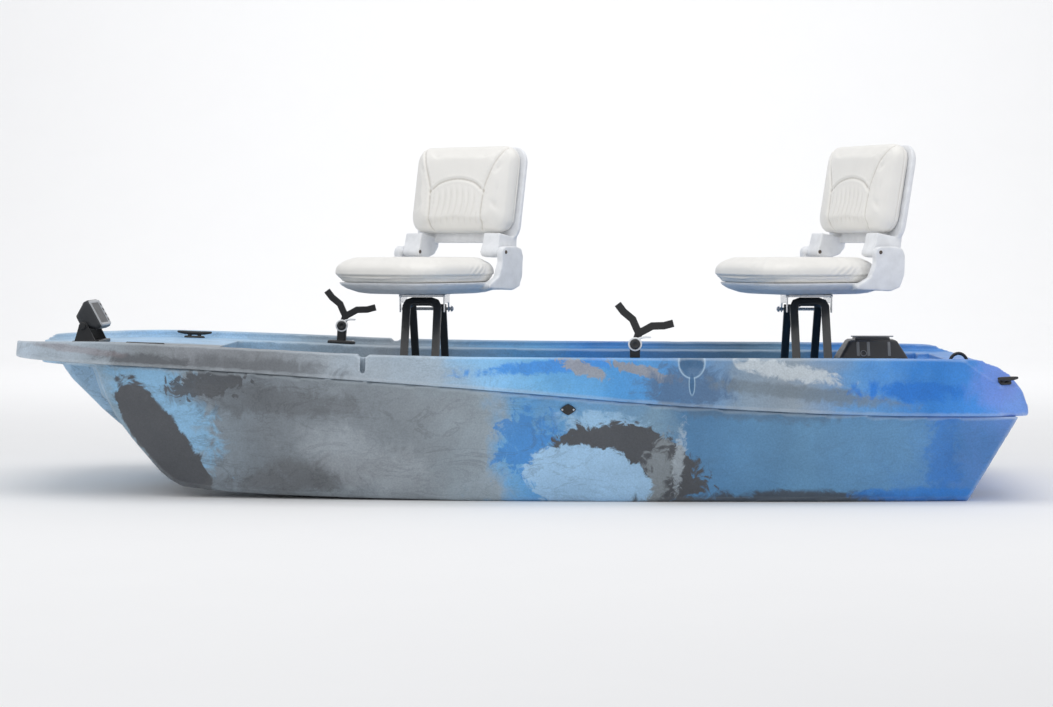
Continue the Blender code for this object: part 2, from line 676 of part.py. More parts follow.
# ---------------------------------------------------------------- battery box
box_low = BENCH_Z + GAP
box_top = box_low + BOX_H
x0, x1 = BOX_X - BOX_L / 2, BOX_X + BOX_L / 2
rings = [[(BOX_X + u, v, z) for u, v in round_rect(BOX_L / 2 - g, BOX_W / 2 - g, 0.014)]
         for g, z in ((0.012, box_low), (0.002, box_top - 0.03), (0.0, box_top))]
box = make_object("battery_box", loft(rings), BLACK)
inner = [[(BOX_X + u, v, z) for u, v in round_rect(BOX_L / 2 - g, BOX_W / 2 - g, 0.010)]
         for g, z in ((0.012 + BOX_WALL, box_low + BOX_WALL), (BOX_WALL, box_top + 0.01))]
cut(box, "battery_box_inside", loft(inner))
lid_low = box_top + GAP
lid_top = lid_low + LID_H
rings = [[(BOX_X + u, v, z) for u, v in round_rect(BOX_L / 2 - g, BOX_W / 2 - h, 0.014)]
         for g, h, z in ((0.0, 0.0, lid_low), (0.004, 0.003, lid_low + 0.012),
                         (LID_TAPER, LID_TAPER * 0.8, lid_top - 0.004),
                         (LID_TAPER + 0.006, LID_TAPER * 0.8 + 0.006, lid_top))]
hinge_y = BOX_W / 2 + LID_HINGE_R
lid = make_object("battery_box_lid", loft(rings), BLACK, origin=(BOX_X, hinge_y, lid_low))
panel = [[(BOX_X + u, v, z) for u, v in round_rect(BOX_L / 2 - LID_TAPER - 0.022 - g,
                                                   BOX_W / 2 - LID_TAPER - 0.006 - g, 0.010)]
         for g, z in ((0.0, lid_top - 0.004), (0.0, lid_top + LID_PANEL_H - 0.003),
                      (0.004, lid_top + LID_PANEL_H))]
join(lid, "lid_panel", loft(panel))
hollow = [[(BOX_X + u, v, z) for u, v in round_rect(BOX_L / 2 - g, BOX_W / 2 - g, 0.010)]
          for g, z in ((BOX_WALL, lid_low - 0.01), (BOX_WALL + 0.002, lid_low + 0.012),
                       (LID_TAPER + BOX_WALL, lid_top - 0.004 - BOX_WALL))]
cut(lid, "lid_hollow", loft(hollow))

# ---------------------------------------------------------------- stands
stand_drop = SEAT_Z - GAP - HEAD_T - GAP
for place in ("front", "rear"):
    cx = SWIVEL_X[place]
    # port frame: an upside-down U, its bar under the head
    lean = math.atan2(STAND_FOOT_Y - STAND_TOP_Y, stand_drop - TUBE_W / 2 - BENCH_Z)
    reach = TUBE_W / 2 * math.cos(lean) + TUBE_T / 2 * math.sin(lean)
    top = Vector((cx, -STAND_TOP_Y, stand_drop - reach))
    foot = Vector((cx, -STAND_FOOT_Y, BENCH_Z + GAP))
    down = (foot - top).normalized()
    half = LEG_SPACING / 2
    corner = 0.020
    start = top + down * ((foot - top).length - TUBE_T / 2 * math.tan(lean) - 0.0015)
    path = [start + Vector((-half, 0, 0)), top + down * corner + Vector((-half, 0, 0)),
            top + down * (corner * 0.3) + Vector((-half + corner * 0.3, 0, 0)),
            top + Vector((-half + corner, 0, 0)), top + Vector((half - corner, 0, 0)),
            top + down * (corner * 0.3) + Vector((half - corner * 0.3, 0, 0)),
            top + down * corner + Vector((half, 0, 0)), start + Vector((half, 0, 0))]
    across = down.cross(Vector((1, 0, 0)))
    port = make_object(place + "_stand_frame_port",
                       flat_sweep(path, across, TUBE_W, TUBE_T), BLACK_STEEL)
    # starboard frame: two legs on a foot bar, hung on the lower axle
    low_axle = Vector((cx, STAND_TOP_Y, STARBOARD_AXLE_Z))
    sb_foot = Vector((cx, STAND_FOOT_Y, BENCH_Z + GAP))
    sb_down = (sb_foot - low_axle).normalized()
    head = low_axle - sb_down * 0.014
    sb_lean = math.atan2(STAND_FOOT_Y - STAND_TOP_Y, STARBOARD_AXLE_Z - BENCH_Z)
    base = low_axle + sb_down * ((sb_foot - low_axle).length
                                 - TUBE_T / 2 * math.tan(sb_lean) - 0.0015)
    sb_across = sb_down.cross(Vector((1, 0, 0)))
    star = make_object(place + "_stand_frame_starboard",
                       flat_sweep([head + Vector((-half, 0, 0)), base + Vector((-half, 0, 0))],
                                  sb_across, TUBE_W, TUBE_T), BLACK_STEEL)
    join(star, place + "_sb_leg", flat_sweep([head + Vector((half, 0, 0)),
                                              base + Vector((half, 0, 0))],
                                             sb_across, TUBE_W, TUBE_T))
    cut(star, place + "_sb_hole", rod(low_axle - Vector((0.09, 0, 0)),
                                      low_axle + Vector((0.09, 0, 0)), AXLE_R + GAP * 2))
    for side, frame_obj in ((-1, port), (1, star)):
        ys = sorted((side * (STAND_FOOT_Y - 0.026), side * (STAND_FOOT_Y + 0.026)))
        pad = block((cx - half - 0.030, ys[0], BENCH_Z + GAP),
                    (cx + half + 0.030, ys[1], BENCH_Z + GAP + 0.010), 0.002)
        join(frame_obj, frame_obj.name + "_pad", pad)
    # head: plate under the seat, link plates and axles
    head_obj = make_object(place + "_stand_head",
                           block((cx - HEAD_HALF_X, -HEAD_HALF_Y - 0.03, SEAT_Z - GAP - HEAD_T),
                                 (cx + HEAD_HALF_X, HEAD_HALF_Y + 0.03, SEAT_Z - GAP), 0.0015),
                           STEEL)
    for end in (-1, 1):
        px = cx + end * PLATE_X
        outline = [(-STAND_TOP_Y - 0.012, SEAT_Z - HEAD_T / 2), (STAND_TOP_Y + 0.012,
                                                                 SEAT_Z - HEAD_T / 2),
                   (STAND_TOP_Y + 0.012, STARBOARD_AXLE_Z - 0.010),
                   (STAND_TOP_Y - 0.012, STARBOARD_AXLE_Z - 0.010),
                   (STAND_TOP_Y - 0.030, STARBOARD_AXLE_Z + 0.020),
                   (-STAND_TOP_Y + 0.020, PORT_AXLE_Z + 0.004),
                   (-STAND_TOP_Y + 0.012, STARBOARD_AXLE_Z - 0.004),
                   (-STAND_TOP_Y - 0.012, STARBOARD_AXLE_Z - 0.004)]
        join(head_obj, "%s_link_%s" % (place, "ab"[end > 0]),
             prism(outline, "x", px - PLATE_T / 2, px + PLATE_T / 2))
    join(head_obj, place + "_axle", rod(low_axle - Vector((AXLE_HALF_L, 0, 0)),
                                        low_axle + Vector((AXLE_HALF_L, 0, 0)), AXLE_R))


# ---------------------------------------------------------------- seats
def cushion_taper(u):
    """Narrows the seat cushion between the hinge lugs."""
    rear = (LUG_HALF_W - LUG_T - 0.008) / CUSHION_HALF_W
    return curve_at(((-HINGE_BACK + 0.020, rear), (-HINGE_BACK + 0.085, 1.0)), u)


def plan(front, rear, half_w, power, count=40):
    """Superellipse plan outline from -rear to front."""
    mid, half = (front - rear) / 2, (front + rear) / 2
    pts = []
    for k in range(count):
        a = 2 * math.pi * k / count
        c, s = math.cos(a), math.sin(a)
        r = (abs(c) ** power + abs(s) ** power) ** (-1 / power)
        pts.append((mid + half * r * c, half_w * r * s))
    return pts


for place in ("front", "rear"):
    # seat frame: X towards the sitter's knees, Y to the sitter's left, origin under the seat
    seat = (Matrix.Translation((SWIVEL_X[place], 0, SEAT_Z))
            @ Matrix.Rotation(math.radians(180 + SEAT_TURN[place]), 4, 'Z'))
    rings = [[(u, v, w) for u, v in plan(PAN_FRONT - g, PAN_REAR - g, PAN_HALF_W - g, 5.0)]
             for g, w in ((0.075, 0.0), (0.050, 0.004), (0.020, 0.016), (0.004, PAN_H - 0.008),
                          (0.0, PAN_H))]
    pan = make_object(place + "_seat_shell", loft(rings), WHITE_SHELL, frame=seat)
    lug = [(-PAN_REAR + 0.045, 0.010), (-PAN_REAR + 0.012, 0.022), (-PAN_REAR - 0.004, 0.060),
           (-PAN_REAR - 0.006, HINGE_UP - 0.010), (-PAN_REAR + 0.004, HINGE_UP + 0.012),
           (-PAN_REAR + 0.030, HINGE_UP + 0.018), (-HINGE_BACK, HINGE_UP + 0.018),
           (-HINGE_BACK + 0.014, HINGE_UP + 0.011), (-HINGE_BACK + 0.018, HINGE_UP),
           (-HINGE_BACK + 0.016, HINGE_UP - 0.030), (-HINGE_BACK + 0.035, PAN_H + 0.018),
           (-HINGE_BACK + 0.085, PAN_H - 0.008), (-HINGE_BACK + 0.085, 0.016)]
    for side, word in ((1, "left"), (-1, "right")):
        ys = sorted((side * LUG_HALF_W, side * (LUG_HALF_W - LUG_T)))
        join(pan, "%s_lug_%s" % (place, word), prism(lug, "y", ys[0], ys[1]), seat)
        ys = sorted((side * (LUG_HALF_W - LUG_T / 2), side * (PAN_HALF_W - 0.030)))
        join(pan, "%s_web_%s" % (place, word),
             prism([(-PAN_REAR + 0.040, 0.012), (-HINGE_BACK + 0.080, 0.012),
                    (-HINGE_BACK + 0.080, PAN_H - 0.004), (-PAN_REAR + 0.040, PAN_H - 0.004)],
                   "y", ys[0], ys[1]), seat)
        boss = sorted((side * (LUG_HALF_W - LUG_T / 2), side * (LUG_HALF_W - LUG_T - MOVE_GAP
                                                                + GAP)))
        join(pan, "%s_boss_%s" % (place, word),
             rod((-HINGE_BACK, boss[0], HINGE_UP), (-HINGE_BACK, boss[1], HINGE_UP),
                 HINGE_BOSS - 0.003), seat)
    rows = []
    for g, w, power in ((0.026, 0.0, 4.0), (0.006, 0.014, 4.5), (0.0, 0.032, 4.5),
                        (0.004, 0.050, 4.2), (0.016, 0.063, 3.8), (0.045, CUSHION_H, 3.4)):
        rows.append([(u, v * cushion_taper(u), PAN_H + GAP + w)
                     for u, v in plan(CUSHION_FRONT - g, CUSHION_REAR - g * 0.6,
                                      CUSHION_HALF_W - g, power)])
    make_object(place + "_seat_cushion", loft(rows), VINYL, frame=seat)

    # back, in its own frame at the hinge: Z along the back, X to the front
    hinge = (seat @ Matrix.Translation((-HINGE_BACK, 0, HINGE_UP))
             @ Matrix.Rotation(math.radians(-RECLINE), 4, 'Y'))
    rear_face = -BACK_CUSHION_T - BACK_SHELL_T - 0.004
    mid_z = BACK_FROM + BACK_H / 2
    slab = [[(n, y, mid_z - 0.012 + z) for y, z in round_rect(BACK_HALF_W - g,
                                                              BACK_H / 2 + 0.010 - g, 0.050, 6)]
            for g, n in ((0.024, rear_face), (0.006, rear_face + 0.010),
                         (0.0, rear_face + 0.020), (0.0, rear_face + BACK_SHELL_T - GAP))]
    shell = make_object(place + "_seat_back", loft(slab), WHITE_SHELL, frame=hinge)
    arm = [(-ARM_DEPTH, BACK_FROM + 0.020), (-ARM_DEPTH - 0.004, 0.030), (-ARM_DEPTH + 0.012, 0.004),
           (-ARM_DEPTH + 0.040, -0.010), (-0.014, -HINGE_BOSS), (0.0, -HINGE_BOSS),
           (0.008, -0.008), (0.010, 0.0), (0.008, 0.010), (0.004, 0.024), (0.002, BACK_FROM - 0.003),
           (-BACK_CUSHION_T - 0.008, BACK_FROM - 0.003), (-BACK_CUSHION_T - 0.008,
                                                          BACK_FROM + 0.020)]
    outer = LUG_HALF_W - LUG_T - MOVE_GAP
    for side, word in ((1, "left"), (-1, "right")):
        ys = sorted((side * outer, side * (outer - ARM_W)))
        join(shell, "%s_arm_%s" % (place, word), prism(arm, "y", ys[0], ys[1]), hinge)
    pad = [[(n, y, mid_z + z) for y, z in round_rect(BACK_HALF_W - 0.006 - g,
                                                     BACK_H / 2 - g, 0.050, 6)]
           for g, n in ((0.012, -BACK_CUSHION_T - 0.004 + GAP), (0.0, -BACK_CUSHION_T + 0.012),
                        (0.0, -0.030), (0.010, -0.012), (0.034, 0.0))]
    make_object(place + "_back_cushion", loft(pad), VINYL, frame=hinge)

# ---------------------------------------------------------------- rod rests
for place, (rx, side, tilt) in RESTS.items():
    ry = side * ledge_mid(rx)
    seat_frame = on_deck(rx, ry)
    base = [[(u, v, w) for u, v in round_rect(REST_BASE_L / 2 - g, REST_BASE_W / 2 - g, 0.016)]
            for g, w in ((0.0, 0.0), (0.0, REST_BASE_T - 0.003), (0.004, REST_BASE_T))]
    post = make_object(place + "_rod_rest_post", loft(base), BLACK, frame=seat_frame)
    fork_t = REST_T / 2 + GAP * 2
    stem = [[(u, v, z) for u, v in round_rect(REST_POST_W / 2, fork_t + 0.009, 0.006)]
            for z in (0.004, REST_PIVOT_UP - 0.004)]
    join(post, place + "_post_stem", loft(stem), seat_frame)
    join(post, place + "_post_cheeks",
         rod((0, -fork_t - 0.008, REST_PIVOT_UP), (0, fork_t + 0.008, REST_PIVOT_UP),
             REST_BOSS_R, 24), seat_frame)
    cut(post, place + "_post_gap",
        block((-0.05, -fork_t, REST_PIVOT_UP - REST_BOSS_R - 0.006),
              (0.05, fork_t, REST_PIVOT_UP + 0.05)), seat_frame)
    pivot = seat_frame @ Vector((0, 0, REST_PIVOT_UP))
    face = Matrix.Translation(pivot) @ Matrix.Rotation(math.radians(tilt), 4, 'Y')
    arms = make_object(place + "_rod_rest_head",
                       rod((0, -REST_T / 2, 0), (0, REST_T / 2, 0), REST_BOSS_R - 0.002, 24),
                       BLACK, frame=face)
    neck = 0.044
    join(arms, place + "_rest_neck", block((-REST_BAR / 2, -REST_T / 2, 0.0),
                                           (REST_BAR / 2, REST_T / 2, neck)), face)
    for end in (-1, 1):
        a = math.radians(REST_SPREAD) * end
        tip = Vector((math.sin(a), 0, math.cos(a))) * REST_ARM
        bend = Vector((end * 0.030, 0, 0.066))
        path = [Vector((0, 0, neck - 0.010)), Vector((end * 0.012, 0, neck + 0.002)), bend,
                bend.lerp(tip, 0.55) + Vector((end * 0.002, 0, -0.003)), tip]
        join(arms, "%s_rest_arm_%s" % (place, "ab"[end > 0]),
             flat_sweep(path, (0, 1, 0), REST_BAR, REST_T), face)

# ---------------------------------------------------------------- sounder
deck_frame = on_deck(SOUNDER_X, 0.0)
up = SOUNDER_PIVOT_UP
bracket = make_object("sounder_bracket",
                      block((-0.036, -SOUNDER_HALF_W - 0.012, 0.0),
                            (0.050, SOUNDER_HALF_W + 0.012, 0.010), 0.002), BLACK,
                      frame=deck_frame)
for end in (-1, 1):
    word = "ab"[end > 0]
    face_y = SOUNDER_HALF_W + MOVE_GAP
    ys = sorted((end * face_y, end * (face_y + SOUNDER_CHEEK_T)))
    join(bracket, "sounder_cheek_" + word,
         prism([(-0.030, 0.004), (0.040, 0.004), (0.014, up + 0.004), (0.006, up + 0.013),
                (-0.006, up + 0.013), (-0.012, up + 0.004)], "y", ys[0], ys[1]), deck_frame)
    for tag, near, far, radius in (("washer", SOUNDER_HALF_W + GAP, face_y + 0.001, 0.008),
                                   ("knob", face_y + SOUNDER_CHEEK_T - 0.001,
                                    face_y + SOUNDER_CHEEK_T + 0.014, 0.0105)):
        ys = sorted((end * near, end * far))
        join(bracket, "sounder_%s_%s" % (tag, word),
             rod((0, ys[0], up), (0, ys[1], up), radius), deck_frame)
pivot = deck_frame @ Vector((0, 0, up))
face = Matrix.Translation(pivot) @ Matrix.Rotation(math.radians(-SOUNDER_LEAN), 4, 'Y')
low_z = -0.030
case = [[(n, v, low_z + SOUNDER_H / 2 + w) for v, w in round_rect(SOUNDER_HALF_W - g,
                                                                  SOUNDER_H / 2 - h, 0.012)]
        for g, h, n in ((0.010, 0.026, -0.010), (0.002, 0.020, 0.002), (0.0, 0.006, 0.024),
                        (0.0, 0.0, 0.032), (0.0, 0.0, 0.032 + SOUNDER_DEPTH - 0.038),
                        (0.006, 0.006, 0.032 + SOUNDER_DEPTH - 0.032))]
make_object("sounder_unit", loft(case), GREY, frame=face)

# ---------------------------------------------------------------- thrusters and propellers
for side, word in ((-1, "port"), (1, "starboard")):
    axis = Vector((drive_x, side * tunnel_y, POD_Z))
    pod = [[(axis.x + t * POD_L, axis.y + POD_R * r * math.cos(2 * math.pi * k / 24),
             axis.z + POD_R * r * math.sin(2 * math.pi * k / 24)) for k in range(24)]
           for t, r in ((-0.54, 0.25), (-0.50, 0.60), (-0.42, 0.85), (-0.28, 1.0), (0.22, 1.0),
                        (0.36, 0.86), (0.46, 0.62))]
    thruster = make_object(word + "_thruster", loft(pod), BLACK, origin=tuple(axis))
    join(thruster, word + "_strut", rod((axis.x, axis.y, POD_Z), (axis.x, axis.y,
                                                                  POCKET_TOP - GAP), STRUT_R))
    join(thruster, word + "_flange", rod((axis.x, axis.y, POCKET_TOP - 0.012),
                                         (axis.x, axis.y, POCKET_TOP - GAP), 0.026, 24))
    px = axis.x + PROP_AFT
    hub = [[(px + t * PROP_HUB_L, axis.y + PROP_HUB_R * r * math.cos(2 * math.pi * k / 20),
             axis.z + PROP_HUB_R * r * math.sin(2 * math.pi * k / 20)) for k in range(20)]
           for t, r in ((-0.85, 0.9), (-0.80, 1.0), (0.2, 1.0), (0.45, 0.8), (0.6, 0.3))]
    prop = make_object(word + "_propeller", loft(hub), BLACK, origin=(px, axis.y, axis.z))
    for n in range(3):
        rows = []
        for r, chord, pitch in ((PROP_HUB_R * 0.6, 0.020, 50), (PROP_R * 0.5, 0.030, 36),
                                (PROP_R * 0.8, 0.032, 27), (PROP_R * 0.97, 0.020, 23)):
            a = math.radians(pitch)
            ring = []
            for c, t in ((-0.5, 0.0), (-0.2, 0.5), (0.2, 0.5), (0.5, 0.0), (0.2, -0.5),
                         (-0.2, -0.5)):
                cc, tt = c * chord, t * BLADE_T + (0.0008 if t == 0 and c > 0 else 0.0)
                ring.append((cc * math.sin(a) + tt * math.cos(a),
                             cc * math.cos(a) - tt * math.sin(a), r))
            rows.append(ring)
        spin = Matrix.Translation((px, axis.y, axis.z)) @ Matrix.Rotation(2 * math.pi * n / 3, 4, 'X')
        join(prop, "%s_blade_%d" % (word, n), loft(rows), spin)

# ---------------------------------------------------------------- foot pedals
for place in ("front", "rear"):
    px = PEDAL_X[place]
    base_z = SOLE_Z + GAP
    pivot = Vector((px, PEDAL_Y, SOLE_Z + PEDAL_PIVOT_UP))
    base = make_object(place + "_pedal_base",
                       block((px - 0.110, PEDAL_Y - 0.040, base_z),
                             (px + 0.110, PEDAL_Y + 0.040, base_z + 0.008), 0.002), BLACK)
    join(base, place + "_pedal_post",
         prism([(px - 0.022, base_z + 0.004), (px + 0.022, base_z + 0.004),
                (px + 0.010, pivot.z), (px, pivot.z + 0.006), (px - 0.010, pivot.z)],
               "y", PEDAL_Y - 0.020, PEDAL_Y + 0.020))
    tread = (Matrix.Translation(pivot) @ Matrix.Rotation(math.radians(PEDAL_REST), 4, 'Y'))
    low = 0.014
    pedal = make_object(place + "_foot_pedal",
                        block((-PEDAL_L / 2, -PEDAL_W / 2, low),
                              (PEDAL_L / 2, PEDAL_W / 2, low + PEDAL_T), 0.003), BLACK, frame=tread)
    for end in (-1, 1):
        ys = sorted((end * (0.020 + GAP * 3), end * 0.028))
        join(pedal, "%s_pedal_ear_%s" % (place, "ab"[end > 0]),
             prism([(-0.020, low + 0.004), (0.020, low + 0.004), (0.009, -0.004), (0.0, -0.009),
                    (-0.009, -0.004)], "y", ys[0], ys[1]), tread)
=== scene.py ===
"""Looks of the two-seat electric fishing boat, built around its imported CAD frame.

Metres, +Z up, floor at Z = 0. Bow towards -X, stern towards +X, port side towards -Y.
"""

import json
import logging
import math
from dataclasses import dataclass, field
from enum import Enum
from typing import Callable, Iterable, Optional, Sequence

import bmesh
import bpy
import numpy as np
from mathutils import Matrix, Vector


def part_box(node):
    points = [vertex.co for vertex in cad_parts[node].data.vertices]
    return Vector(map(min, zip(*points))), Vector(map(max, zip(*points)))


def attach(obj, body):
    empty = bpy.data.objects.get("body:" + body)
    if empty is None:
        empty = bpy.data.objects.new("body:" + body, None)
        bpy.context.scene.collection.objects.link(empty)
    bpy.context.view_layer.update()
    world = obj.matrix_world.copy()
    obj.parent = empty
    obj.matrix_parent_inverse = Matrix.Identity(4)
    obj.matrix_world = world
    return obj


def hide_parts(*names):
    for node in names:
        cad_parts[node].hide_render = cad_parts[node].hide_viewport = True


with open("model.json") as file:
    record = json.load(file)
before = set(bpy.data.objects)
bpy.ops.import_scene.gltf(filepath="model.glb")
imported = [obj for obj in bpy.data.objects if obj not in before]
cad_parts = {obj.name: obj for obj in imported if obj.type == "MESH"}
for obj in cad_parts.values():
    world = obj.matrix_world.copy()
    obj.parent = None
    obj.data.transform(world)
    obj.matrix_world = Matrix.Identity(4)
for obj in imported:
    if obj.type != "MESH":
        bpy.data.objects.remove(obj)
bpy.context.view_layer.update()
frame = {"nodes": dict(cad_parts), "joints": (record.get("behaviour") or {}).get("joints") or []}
NODES: dict[str, bpy.types.Object] = frame["nodes"]
JOINTS: dict[str, dict] = {joint["name"]: joint for joint in frame["joints"]}

log = logging.getLogger("boat")
MM = 0.001
Colour = tuple[float, float, float, float]
Point = tuple[float, float, float]


# ---------------------------------------------------------------- colours and nodes
def linear(hexa: str) -> Colour:
    """Turn an sRGB hex colour into linear RGBA.

    Args:
        hexa: six hex digits, with or without a leading hash.

    Returns:
        The linear colour with alpha 1.
    """
    digits = hexa.lstrip("#")
    parts = [int(digits[k:k + 2], 16) / 255 for k in (0, 2, 4)]
    red, green, blue = (p / 12.92 if p <= 0.04045 else ((p + 0.055) / 1.055) ** 2.4
                        for p in parts)
    return (red, green, blue, 1.0)


def add_node(tree: bpy.types.NodeTree, kind: str, inputs: Optional[dict] = None,
             stops: Sequence[tuple[float, str]] = (), **settings) -> bpy.types.Node:
    """Add a node with its settings, values and links.

    Args:
        tree: the material's node tree.
        kind: the node's type name.
        inputs: value or source socket for each input, by name or number.
        stops: places and hex colours of a colour ramp.
        settings: the node's own properties.

    Returns:
        The new node.
    """
    node = tree.nodes.new(kind)
    for name, value in settings.items():
        setattr(node, name, value)
    for number, (place, hexa) in enumerate(stops):
        marks = node.color_ramp.elements
        mark = marks[number] if number < 2 and number < len(marks) else marks.new(place)
        mark.position, mark.color = place, linear(hexa)
    for name, value in (inputs or {}).items():
        socket = node.inputs[name]
        if isinstance(value, bpy.types.NodeSocket):
            tree.links.new(value, socket)
        else:
            socket.default_value = value
    return node


def scale_of(millimetres: float) -> float:
    """Pattern scale, per metre, of a texture whose features are this many millimetres."""
    return 1.0 / (millimetres * MM)


class Slot(Enum):
    """Material slots of the part's record."""

    HULL = "hull_polyethylene"
    DECK = "deck_polyethylene"
    VINYL = "seat_vinyl"
    SEAT = "seat_plastic"
    BLACK_STEEL = "black_steel"
    ZINC = "zinc_steel"
    BLACK = "black_plastic"
    GREY = "grey_plastic"
    RUBBER = "rubber"


# ---------------------------------------------------------------- finishes
@dataclass(frozen=True)
class Finish:
    """A finish that makes its material once and hands it out again.

    Attributes:
        name: the material's name, after what it is and how it was made.
    """

    name: str

    def material(self) -> bpy.types.Material:
        """Make the material, or find the one already made.

        Returns:
            The Blender material.
        """
        found = bpy.data.materials.get(self.name)
        if found is not None:
            return found
        made = bpy.data.materials.new(self.name)
        made.use_nodes = True
        tree = made.node_tree
        tree.nodes.clear()
        shader = add_node(tree, "ShaderNodeBsdfPrincipled")
        add_node(tree, "ShaderNodeOutputMaterial", {"Surface": shader.outputs[0]})
        self.paint(tree, shader)
        return made

    def paint(self, tree: bpy.types.NodeTree, shader: bpy.types.Node) -> None:
        """Fill in the shader's colour, gloss and relief; each finish has its own."""
        raise NotImplementedError

    def place(self, tree: bpy.types.NodeTree) -> bpy.types.NodeSocket:
        """Position on the object, in metres."""
        return add_node(tree, "ShaderNodeTexCoord").outputs["Object"]

    def grain(self, tree: bpy.types.NodeTree, millimetres: float, detail: float = 2.0,
              where: Optional[bpy.types.NodeSocket] = None) -> bpy.types.NodeSocket:
        """Noise whose features have a real size.

        Args:
            tree: the material's node tree.
            millimetres: size of the features.
            detail: how many finer layers it has.
            where: position socket, or None for the object's own.

        Returns:
            The noise's value socket, about 0.5 on average.
        """
        return add_node(tree, "ShaderNodeTexNoise",
                        {"Vector": where or self.place(tree), "Scale": scale_of(millimetres),
                         "Detail": detail, "Roughness": 0.55}).outputs["Fac"]

    def relief(self, tree: bpy.types.NodeTree, shader: bpy.types.Node,
               height: bpy.types.NodeSocket, depth_mm: float, strength: float = 1.0) -> None:
        """Drive the shader's normal from a height.

        Args:
            tree: the material's node tree.
            shader: the node that takes the normal.
            height: height socket, from 0 to 1.
            depth_mm: real depth of the pattern.
            strength: share of it that is used.
        """
        bump = add_node(tree, "ShaderNodeBump", {"Height": height, "Distance": depth_mm * MM,
                                                 "Strength": strength})
        tree.links.new(bump.outputs[0], shader.inputs["Normal"])

    def vary(self, tree: bpy.types.NodeTree, factor: bpy.types.NodeSocket, low: float,
             high: float) -> bpy.types.NodeSocket:
        """Spread a 0 to 1 value over a range.

        Args:
            tree: the material's node tree.
            factor: the value.
            low: result at 0.25.
            high: result at 0.75.

        Returns:
            The socket with the new value.
        """
        return add_node(tree, "ShaderNodeMapRange",
                        {"Value": factor, 1: 0.25, 2: 0.75, 3: low, 4: high}).outputs[0]

    def tone(self, tree: bpy.types.NodeTree, colour, factor: bpy.types.NodeSocket
             ) -> bpy.types.NodeSocket:
        """Multiply a colour by a brightness.

        Args:
            tree: the material's node tree.
            colour: colour socket or value.
            factor: brightness, 1 for no change.

        Returns:
            The toned colour's socket.
        """
        return add_node(tree, "ShaderNodeMix", {0: 1.0, 6: colour, 7: factor},
                        data_type="RGBA", blend_type="MULTIPLY").outputs[2]

    def edge_highlight(self, tree: bpy.types.NodeTree, colour, pale: str, amount: float
             ) -> bpy.types.NodeSocket:
        """Lighten outer edges: a painted highlight where light catches them.

        Args:
            tree: the material's node tree.
            colour: colour socket or value.
            pale: hex colour of the painted edge highlight.
            amount: share of it at the sharpest edges.

        Returns:
            The colour socket with pale edges.
        """
        # painted highlight: the sharper a convex edge, the paler it is painted
        edge = add_node(tree, "ShaderNodeMapRange",
                        {"Value": add_node(tree, "ShaderNodeNewGeometry").outputs["Pointiness"],
                         1: 0.51, 2: 0.56, 3: 0.0, 4: amount})
        return add_node(tree, "ShaderNodeMix", {0: edge.outputs[0], 6: colour, 7: linear(pale)},
                        data_type="RGBA").outputs[2]


@dataclass(frozen=True)
class Cloud:
    """A patch of one colour, seen from the side: mostly clouds in the marbled plastic, a few
    painted shade in a recess.

    Attributes:
        colour: hex colour of the patch.
        at: its middle, metres along and up.
        reach: half its length and half its height.
        lean: degrees its long axis is turned, bow up.
        ragged: how far noise moves its edge, as a share of its reach.
        lobe_mm: size of the lobes along its edge.
        soft: width of its edge, as a share of its reach.
        strength: how fully it covers.
        skin_only: whether it stays on the outer skin, off the inside of the cockpit.
    """

    colour: str
    at: tuple[float, float]
    reach: tuple[float, float]
    lean: float = 0.0
    ragged: float = 0.6
    lobe_mm: float = 60.0
    soft: float = 0.15
    strength: float = 1.0
    skin_only: bool = False


